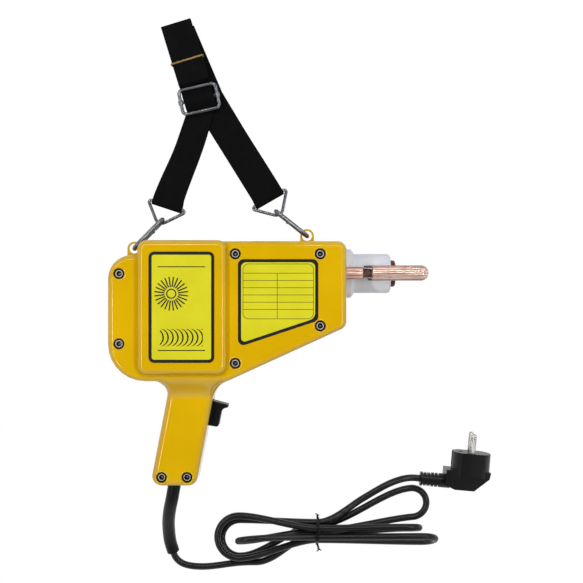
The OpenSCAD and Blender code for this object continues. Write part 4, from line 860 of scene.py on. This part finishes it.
def bundle_line():
    """The folded strap seen from its edge: up over the buckle's bar as a squared cosine, then to and fro in
    layers joined by half circles."""
    bump = BUCKLE_L / 2
    rise = BUCKLE_Z + BAR_R + BAR_GAP - BUNDLE_Z
    x = np.linspace(-bump * 1.05, BUNDLE_START, 60)
    hump = np.where(np.abs(x) < bump, rise * np.cos(np.pi / 2 * np.clip(x / bump, -1, 1)) ** 2, 0)
    step, far = WEB_T + LAYER_GAP, BUNDLE_START + BUNDLE_L
    runs = [np.stack([x, BUNDLE_Z + WEB_T / 2 + hump], -1)]
    straight = np.linspace(BUNDLE_START, far, 20)
    a = np.linspace(-np.pi / 2, np.pi / 2, 9)
    for k in range(LAYERS):
        run, end, side = (straight, far, 1) if k % 2 == 0 else (straight[::-1], BUNDLE_START, -1)
        level = BUNDLE_Z + WEB_T / 2 + step * k
        runs.append(np.stack([run, np.full(len(run), level)], -1)[1:])
        if k < LAYERS - 1:
            out = end + side * step / 2 * np.cos(a)
            up = level + step / 2 + step / 2 * np.sin(a)
            runs.append(np.stack([out, up], -1)[1:])
    return np.vstack(runs)


def bundle():
    """The folded strap as one ribbon on that line, its edges half the webbing to each side."""
    line = bundle_line()
    t = unit(np.gradient(line, axis=0))
    under = line - np.stack([-t[:, 1], t[:, 0]], -1) * WEB_T / 2
    o = np.full(len(under), WEB_W / 2)
    left, right = (in_bundle(np.stack([under[:, 0], s * o, under[:, 1]], -1)) for s in (1, -1))
    return ribbon(left, right, WEB_T)


for node, run in (("strap_left", left_leg), ("strap_right", right_leg), ("strap_bundle", bundle())):
    web = piece(node + "_web", run, "webbing", "sling", (node,), run[2])


def band_loop():
    """A thin rubber band round the folded strap: a flat oval carried round a rounded box."""
    low = BUNDLE_Z - BAND_UNDER
    high = BUNDLE_Z + LAYERS * WEB_T + (LAYERS - 1) * LAYER_GAP + BAND_GAP + BAND_HALF_T
    half = WEB_W / 2 + BAND_GAP + BAND_HALF_T
    corners = [(-half, low), (half, low), (half, high), (-half, high)]
    oval = round_profile(BAND_HALF_T, BAND_HALF_W, 14)
    points, faces = loop_wire(rounded_loop(corners, [BAND_R] * 4, 6), oval)
    return in_bundle(np.stack([points[:, 2] + BAND_AT, points[:, 0], points[:, 1]], -1)), faces


piece("strap_band_loop", band_loop(), "rubber_band", "sling", ("strap_band",))

corners = [(0, 0), (RING_H, -RING_BAR / 2), (RING_H, RING_BAR / 2)]
points, faces = loop_wire(rounded_loop(corners, [RING_APEX, RING_R, RING_R], 14),
                          round_profile(RING_D / 2, RING_D / 2, 18))
for right, ring in ((False, "ring_left"), (True, "ring_right")):
    shape = (ring_place(right, points), faces)
    piece(ring + "_wire", shape, "bright_wire", "sling", (ring,))

half_l, half_w = BUCKLE_L / 2, BUCKLE_W / 2
corners = [(-half_l, -half_w), (half_l, -half_w), (half_l, half_w), (-half_l, half_w)]
points, faces = loop_wire(rounded_loop(corners, [BUCKLE_R] * 4, 12),
                          round_profile(BUCKLE_WIRE_R, BUCKLE_WIRE_R, 20))
shape = (in_bundle(points @ turn_z(BUCKLE_TURN).T + (0, 0, BUCKLE_Z)), faces)
piece("buckle_frame_wire", shape, "bright_wire", "sling", ("buckle_frame",))


# Case screws: socket heads with a knurled side, a rounded rim and a six-sided socket

CASE_T, GRIP_T, GRIP_W, FLANGE_TOP, SKIRT_Y = 96, 44, 41.6, 88, -67
GRIP_SCREW_Y, GRIP_SCREW_OFF = -155.9, 11.4
HEAD_R, HEAD_H, HEAD_RIM, HEAD_SEAT, HEAD_LIFT = 4.25, 5, 0.5, 6.5, 0.05
KNURL_DEPTH, KNURLS, SOCKET_HALF, SOCKET_MOUTH = 0.12, 30, 1.99, 2.2
SHANK_R, SHANK_FOOT = 2.5, 38
RIM_IN, RIM_WIDE, RIM_HIGH, RIM_SIDES = 5.0, 1.3, 0.28, 64

SCREWS = [(x, y, FLANGE_TOP) for x, y in ((-57, 30), (-57, -33), (47.5, 47.8), (123.8, 47.8),
                                          (123.8, -16.9), (47.5, -50.5))]
SCREWS += [(*beside_grip(GRIP_C + off, GRIP_SCREW_Y), GRIP_Z + GRIP_T / 2)
           for off in (-GRIP_SCREW_OFF, GRIP_SCREW_OFF)]


def six_sided(flat):
    """The radius of a hexagon of a given half width across its flats, as a function of the angle."""
    return lambda a: flat / np.cos((a + np.pi / 6) % (np.pi / 3) - np.pi / 6)


def knurled(radius, depth, ridges):
    """A radius with small ridges round it."""
    return lambda a: radius - depth * (0.5 + 0.5 * np.cos(ridges * a))


def screw_head():
    """The head's half section: knurled side, rounded rim, flat, chamfered socket and drill point."""
    a = np.linspace(0, np.pi / 2, 5)
    side, hexagon = knurled(HEAD_R, KNURL_DEPTH, KNURLS), six_sided(SOCKET_HALF)
    r, h = HEAD_R - HEAD_RIM, HEAD_H - HEAD_RIM
    rim = [(r + HEAD_RIM * math.cos(x), h + HEAD_RIM * math.sin(x)) for x in a]
    socket = [(six_sided(SOCKET_MOUTH), HEAD_H), (hexagon, 4.8), (hexagon, 2.2), (0.5, 1.9), (0.05, 1.85)]
    return spun([(4.1, 0), (side, 0.3), (side, 4.3), *rim, *socket], 120)


head = screw_head()
shank = spun([(SHANK_R, 0), (SHANK_R, 1)], 24)
heads, shanks = [], []
for x, y, z in SCREWS:
    heads.append((head[0] + (x, y, z - HEAD_SEAT + HEAD_LIFT), head[1]))
    shanks.append((shank[0] * (1, 1, z - HEAD_SEAT - SHANK_FOOT) + (x, y, SHANK_FOOT), shank[1]))
reach = np.hypot(*np.vstack([head[0]] * len(SCREWS) + [shank[0]] * len(SCREWS))[:, :2].T)
height = np.concatenate([p[:, 2] for p, _ in heads + shanks])
piece("case_screws_heads", joined(heads + shanks), "socket_head",
      replaces=("case_screws",), chart=np.stack([reach, height], -1) * MM, smooth_angle=32)


def sink_rim():
    """A moulded lip round a screw's sink: a low half wave of radius, standing a little above the face."""
    a = np.linspace(np.pi, 0, 9)
    wave = [(RIM_IN + RIM_WIDE * x / np.pi, RIM_HIGH * math.sin(x)) for x in a]
    profile = [(6.35, -0.4), *wave, (4.95, -0.6)]
    return spun(profile, RIM_SIDES)[0], grid_faces(len(profile), RIM_SIDES, closed=True)


rim = sink_rim()
piece("sink_rims", joined([(rim[0] + at, rim[1]) for at in SCREWS]), "shell_yellow")


# Trigger and the grip's root

TRIGGER_TOP, TRIGGER_LOW, TRIGGER_IN, TRIGGER_OUT = -79.4, -103.9, 13.9, 9.6
TRIGGER_HALF, TRIGGER_EDGE = 9, 1.2
TRIGGER_RADII = [1.6, 2.6, 5.5, 1.45, 1.55, 6, 1.6]
PLATE_IN, PLATE_OUT, PLATE_PAST, PLATE_HALF, PLATE_EDGE = 5.3, 3.4, 3, 12, 0.3
ROOT_EDGE, ROOT_T, ROOT_FROM, ROOT_TO = 6.5, 1.6, -59.5, -85
ROOT_FALL_FROM, ROOT_FALL = -61.5, 23
ROOT_STEPS, ROOT_INNER = 26, 7


def moulded(outline, half, edge):
    """A counterclockwise outline as a plate with rounded edges: rings drawn in by an arc to each face."""
    t = unit(np.roll(outline, -1, 0) - np.roll(outline, 1, 0))
    out = np.stack([t[:, 1], -t[:, 0]], -1)
    a = np.linspace(0, np.pi / 2, 6)
    inset = edge * (1 - np.concatenate([np.sin(a), np.sin(a)[::-1]]))
    level = (half - edge) + edge * np.cos(a)
    level = np.concatenate([-level, level[::-1]])
    plan = outline[None] - inset[:, None, None] * out[None]
    rows, cols = plan.shape[:2]
    points = np.concatenate([plan, np.broadcast_to(level[:, None, None], (rows, cols, 1))], -1)
    return points.reshape(-1, 3), skin_faces(rows, cols)


def trigger_form():
    """The trigger from the side, a beak over a hollow for the finger, and the flange that keeps it in."""
    face, top, low = GRIP_C + GRIP_W / 2, TRIGGER_TOP, TRIGGER_LOW
    corners = [(face - TRIGGER_IN, low), (face + TRIGGER_OUT, low), (face + TRIGGER_OUT, top - 6.8),
               (face + 14.7, top - 5), (face + 15.4, top - 2.5), (face, top - 1.4), (face - TRIGGER_IN, top)]
    finger = moulded(rounded_loop(corners, TRIGGER_RADII, 10), TRIGGER_HALF, TRIGGER_EDGE)
    near, far, foot, brow = face - PLATE_IN, face - PLATE_OUT, low - PLATE_PAST, top + PLATE_PAST
    plate = rounded_loop([(near, foot), (far, foot), (far, brow), (near, brow)], [0.4] * 4, 4)
    points, faces = joined([finger, moulded(plate, PLATE_HALF, PLATE_EDGE)])
    return points @ turn_z(-GRIP_LEAN).T + (0, 0, GRIP_Z), faces


level_faces(piece("trigger_skin", trigger_form(), "trigger_black", "trigger",
                  ("trigger",)))


def grip_edge(side, y):
    """A point on the grip's side, just inside its face, at a given height of the picture."""
    return beside_grip(GRIP_C + side * (GRIP_W / 2 - 0.1), y)


def root_edge(side, steps):
    """The outline where the grip grows out of the housing: the housing's edge, an arc, then the grip's side.
    Its first stretch goes up into the housing from the arc's start."""
    if side < 0:
        far, corner, radius = (-60, SKIRT_Y), grip_edge(side, SKIRT_Y), 12.2
    else:
        far, corner, radius = (70, SKIRT_Y + 10), (28.4, SKIRT_Y - 3.87), 24
    arc = rounded_loop([far, corner, grip_edge(side, -100)], [0.01, radius, 0.01], steps).reshape(3, -1, 2)[1]
    end = np.array(grip_edge(side, ROOT_TO))
    rise = np.linspace(ROOT_FROM, arc[0, 1], ROOT_INNER + 1)[:-1]
    inner = np.stack([rise * 0 + arc[0, 0], rise], -1)
    return np.array(far), np.vstack([inner, arc, end[None]])


def gap_to(points, line):
    """Least distance in the plan from each point to a line of straight pieces."""
    a, d = line[:-1], np.diff(line, axis=0)
    share = np.clip(((points[:, :, None] - a) * d).sum(-1) / (d * d).sum(-1), 0, 1)
    return np.linalg.norm(points[:, :, None] - a - share[..., None] * d, axis=-1).min(-1)


def grip_root(front):
    """A thin skin over the grip's root: in plan between the two outlines, its height a smooth step from the
    flange to the grip, less the crown of a rounded edge, its sides going down to the parting line."""
    edge, part = ROOT_EDGE, CASE_T / 2 + 0.15
    (far_l, left), (far_r, right) = root_edge(-1, ROOT_STEPS), root_edge(1, ROOT_STEPS)
    a = np.linspace(0, np.pi / 2, 8)
    width = np.linalg.norm(right - left, axis=1)[:, None]
    crown = edge * (1 - np.cos(a))[None] / width
    middle = crown[:, -1:] + (1 - 2 * crown[:, -1:]) * np.linspace(0, 1, 26)[None, 1:-1]
    u = np.hstack([crown, middle, 1 - crown[:, ::-1]])[:, ::-1, None]
    plan = left[:, None] + (right - left)[:, None] * u
    sides = [np.vstack([far_l, left[ROOT_INNER:]]), np.vstack([far_r, right[ROOT_INNER:]])]
    near = np.minimum(gap_to(plan, sides[0]), gap_to(plan, sides[1]))
    fall = np.clip((ROOT_FALL_FROM - plan[..., 1]) / ROOT_FALL, 0, 1)
    top = FLANGE_TOP + 0.05 - (FLANGE_TOP - GRIP_Z - GRIP_T / 2 + 0.15) * fall * fall * (3 - 2 * fall)
    top = top - edge + np.sqrt(edge**2 - (edge - np.clip(near, 0, edge)) ** 2)
    outer = np.concatenate([plan, top[..., None]], -1)
    first, last = (outer[:, k:k + 1] * (1, 1, 0) + (0, 0, part) for k in (0, outer.shape[1] - 1))
    outer = np.concatenate([first, outer, last], 1)
    inner = outer[:, ::-1].copy()
    inner[..., 0] = np.clip(inner[..., 0], left[:, :1] + ROOT_T, right[:, :1] - ROOT_T)
    inner[..., 2] = np.maximum(inner[..., 2] - ROOT_T, part)
    ring = np.concatenate([outer, inner], 1)
    if not front:
        ring = (ring * (1, 1, -1) + (0, 0, CASE_T))[:, ::-1]
    rows, cols = ring.shape[:2]
    return ring.reshape(-1, 3), skin_faces(rows, cols)


for front, name in ((True, "front_grip_root"), (False, "rear_grip_root")):
    piece(name, grip_root(front), "shell_yellow", smooth_angle=50)


# Skins of the rigid solids, and finishes of what stays inside

# solid, finish, slot, and where they differ from the usual, smooth angle and bevel
SKINS = [("front_shell", "shell_yellow", "housing", 34), ("rear_shell", "shell_yellow", "housing", 34),
         ("nose_sleeve", "turned_white", "white_plastic"), ("stud_electrode", "dull_copper", "copper"),
         ("contact_rod", "drawn_copper", "copper"), ("contact_tip", "drawn_copper", "copper", 40, 0.35),
         ("plug_body", "plug_black", "black_rubber", 40, 0.5), ("plug_pins", "pin_nickel", "steel")]
for node, finish, slot, *more in SKINS:
    skin_of(node, finish, "case", slot, *more)
for node, body in (("hook_left", "sling"), ("hook_right", "sling"), ("gate_left", "gate_left"),
                   ("gate_right", "gate_right"), ("buckle_bar", "sling")):
    skin_of(node, "bright_wire", body, "bright_wire")

WORN = {"block_film": ["block_label"], "panel_film": ["panel_label"], "brass": ["thread_inserts"],
        "laminated_iron": ["transformer_core"], "wound_wire": ["primary_winding"],
        "dull_copper": ["secondary_winding", "rod_clamp", "electrode_clamp"],
        "inner_black": ["bobbin", "trigger_switch", "board_parts", "cable_clamp"],
        "screw_steel": ["core_bolts", "clamp_screws", "gate_pins"], "board_green": ["timer_board"],
        "turned_white": ["switch_plunger", "terminal_block"], "pin_nickel": ["earth_contacts"]}
for finish, dressed in WORN.items():
    for node in dressed:
        nodes[node].data.materials.clear()
        nodes[node].data.materials.append(finishes[finish])


# Floor, light and background

FLOOR_HALF, FLOOR_POINTS, FLOOR_DROP = 4000, 9, 0.3
FLOOR_TONE, FLOOR_GLOW, FLOOR_SHARE = 104, 1.08, 0.92
CEILING, WALLS, FOOT_WALL = 0.04, 0.14, 0.42
AIM, LAMP_Z, LAMP_POWER, STRIP_W, STRIP_L = (0.06, 0.0, 0.05), 1.35, 9.0, 0.07, 1.5


def backdrop():
    """A white table under the welder that reaches far past the picture: one flat grid."""
    k = np.linspace(-FLOOR_HALF, FLOOR_HALF, FLOOR_POINTS)
    x, y = np.meshgrid(k, k, indexing="ij")
    points = np.stack([x, y, x * 0 - FLOOR_DROP], -1).reshape(-1, 3)
    mesh = bpy.data.meshes.new("table")
    mesh.from_pydata((points * MM).tolist(), [], grid_faces(FLOOR_POINTS, FLOOR_POINTS, around=False))
    made = put("table", mesh)
    return made


def background_rays(tone):
    """1 for a ray from the camera or one that metal or glass sends on, 0 for one that only gathers light."""
    kinds = ("Is Camera Ray", "Is Glossy Ray", "Is Transmission Ray")
    camera_ray, glossy_ray, glass_ray = (tone.node("ShaderNodeLightPath", out=kind) for kind in kinds)
    return camera_ray.most(glossy_ray).most(glass_ray)


p = begin("table_white")
tree = p.tree
dress(p, srgb(FLOOR_TONE, FLOOR_TONE, FLOOR_TONE), 0.9, Specular_IOR_Level=0.0)
glow = p.node("ShaderNodeEmission", None, {"Color": (1, 1, 1, 1), "Strength": FLOOR_GLOW})
share = background_rays(p) * FLOOR_SHARE
lit = Tone(tree.nodes["Principled BSDF"].outputs[0])
mixed = p.node("ShaderNodeMixShader", None, {0: share, 1: lit, 2: glow})
feed(tree.nodes["Material Output"].inputs["Surface"], mixed)
backdrop().data.materials.append(finishes["table_white"])

world = bpy.data.worlds.new("studio")
bpy.context.scene.world = world
world.use_nodes = True
shine = world.node_tree.nodes["Background"]
sky = Tone(shine.outputs[0])
feed(shine.inputs["Color"], (1, 1, 1, 1))
# Dark overhead, paler walls, the brightest beyond the grip; white near the horizon for background rays
aim = sky.node("ShaderNodeTexCoord", out="Generated")
walls = aim.axis(2).step(0.9, 0.62) * WALLS + CEILING
walls = walls + aim.axis(1).step(-0.15, -0.6) * aim.axis(2).step(0.05, 0.3) * FOOT_WALL
seen = background_rays(sky) * aim.axis(2).step(0.5, 0.3)
level = seen + (1 - seen) * walls
feed(shine.inputs["Strength"], level)


def lamp(name, at, aim, size, power):
    """A soft rectangular lamp, turned to face a point."""
    light = bpy.data.lights.new(name, "AREA")
    light.shape, light.size, light.size_y, light.energy = "RECTANGLE", size[0], size[1], power
    made = put(name, light)
    z = unit(np.array(at) - np.array(aim))
    x = unit(np.cross((0, 1, 0) if abs(z[1]) < 0.9 else (1, 0, 0), z))
    y = np.cross(z, x)
    made.matrix_world = np.vstack([np.column_stack([x, y, z, at]), [0, 0, 0, 1]]).T.tolist()


lamp("strip_left", (-0.75, 0.05, LAMP_Z), AIM, (STRIP_W, STRIP_L), LAMP_POWER)
lamp("strip_right", (0.95, 0.05, LAMP_Z), AIM, (STRIP_W, STRIP_L), LAMP_POWER)
lamp("strip_top", (0.1, 0.85, LAMP_Z), AIM, (STRIP_L, STRIP_W), LAMP_POWER)
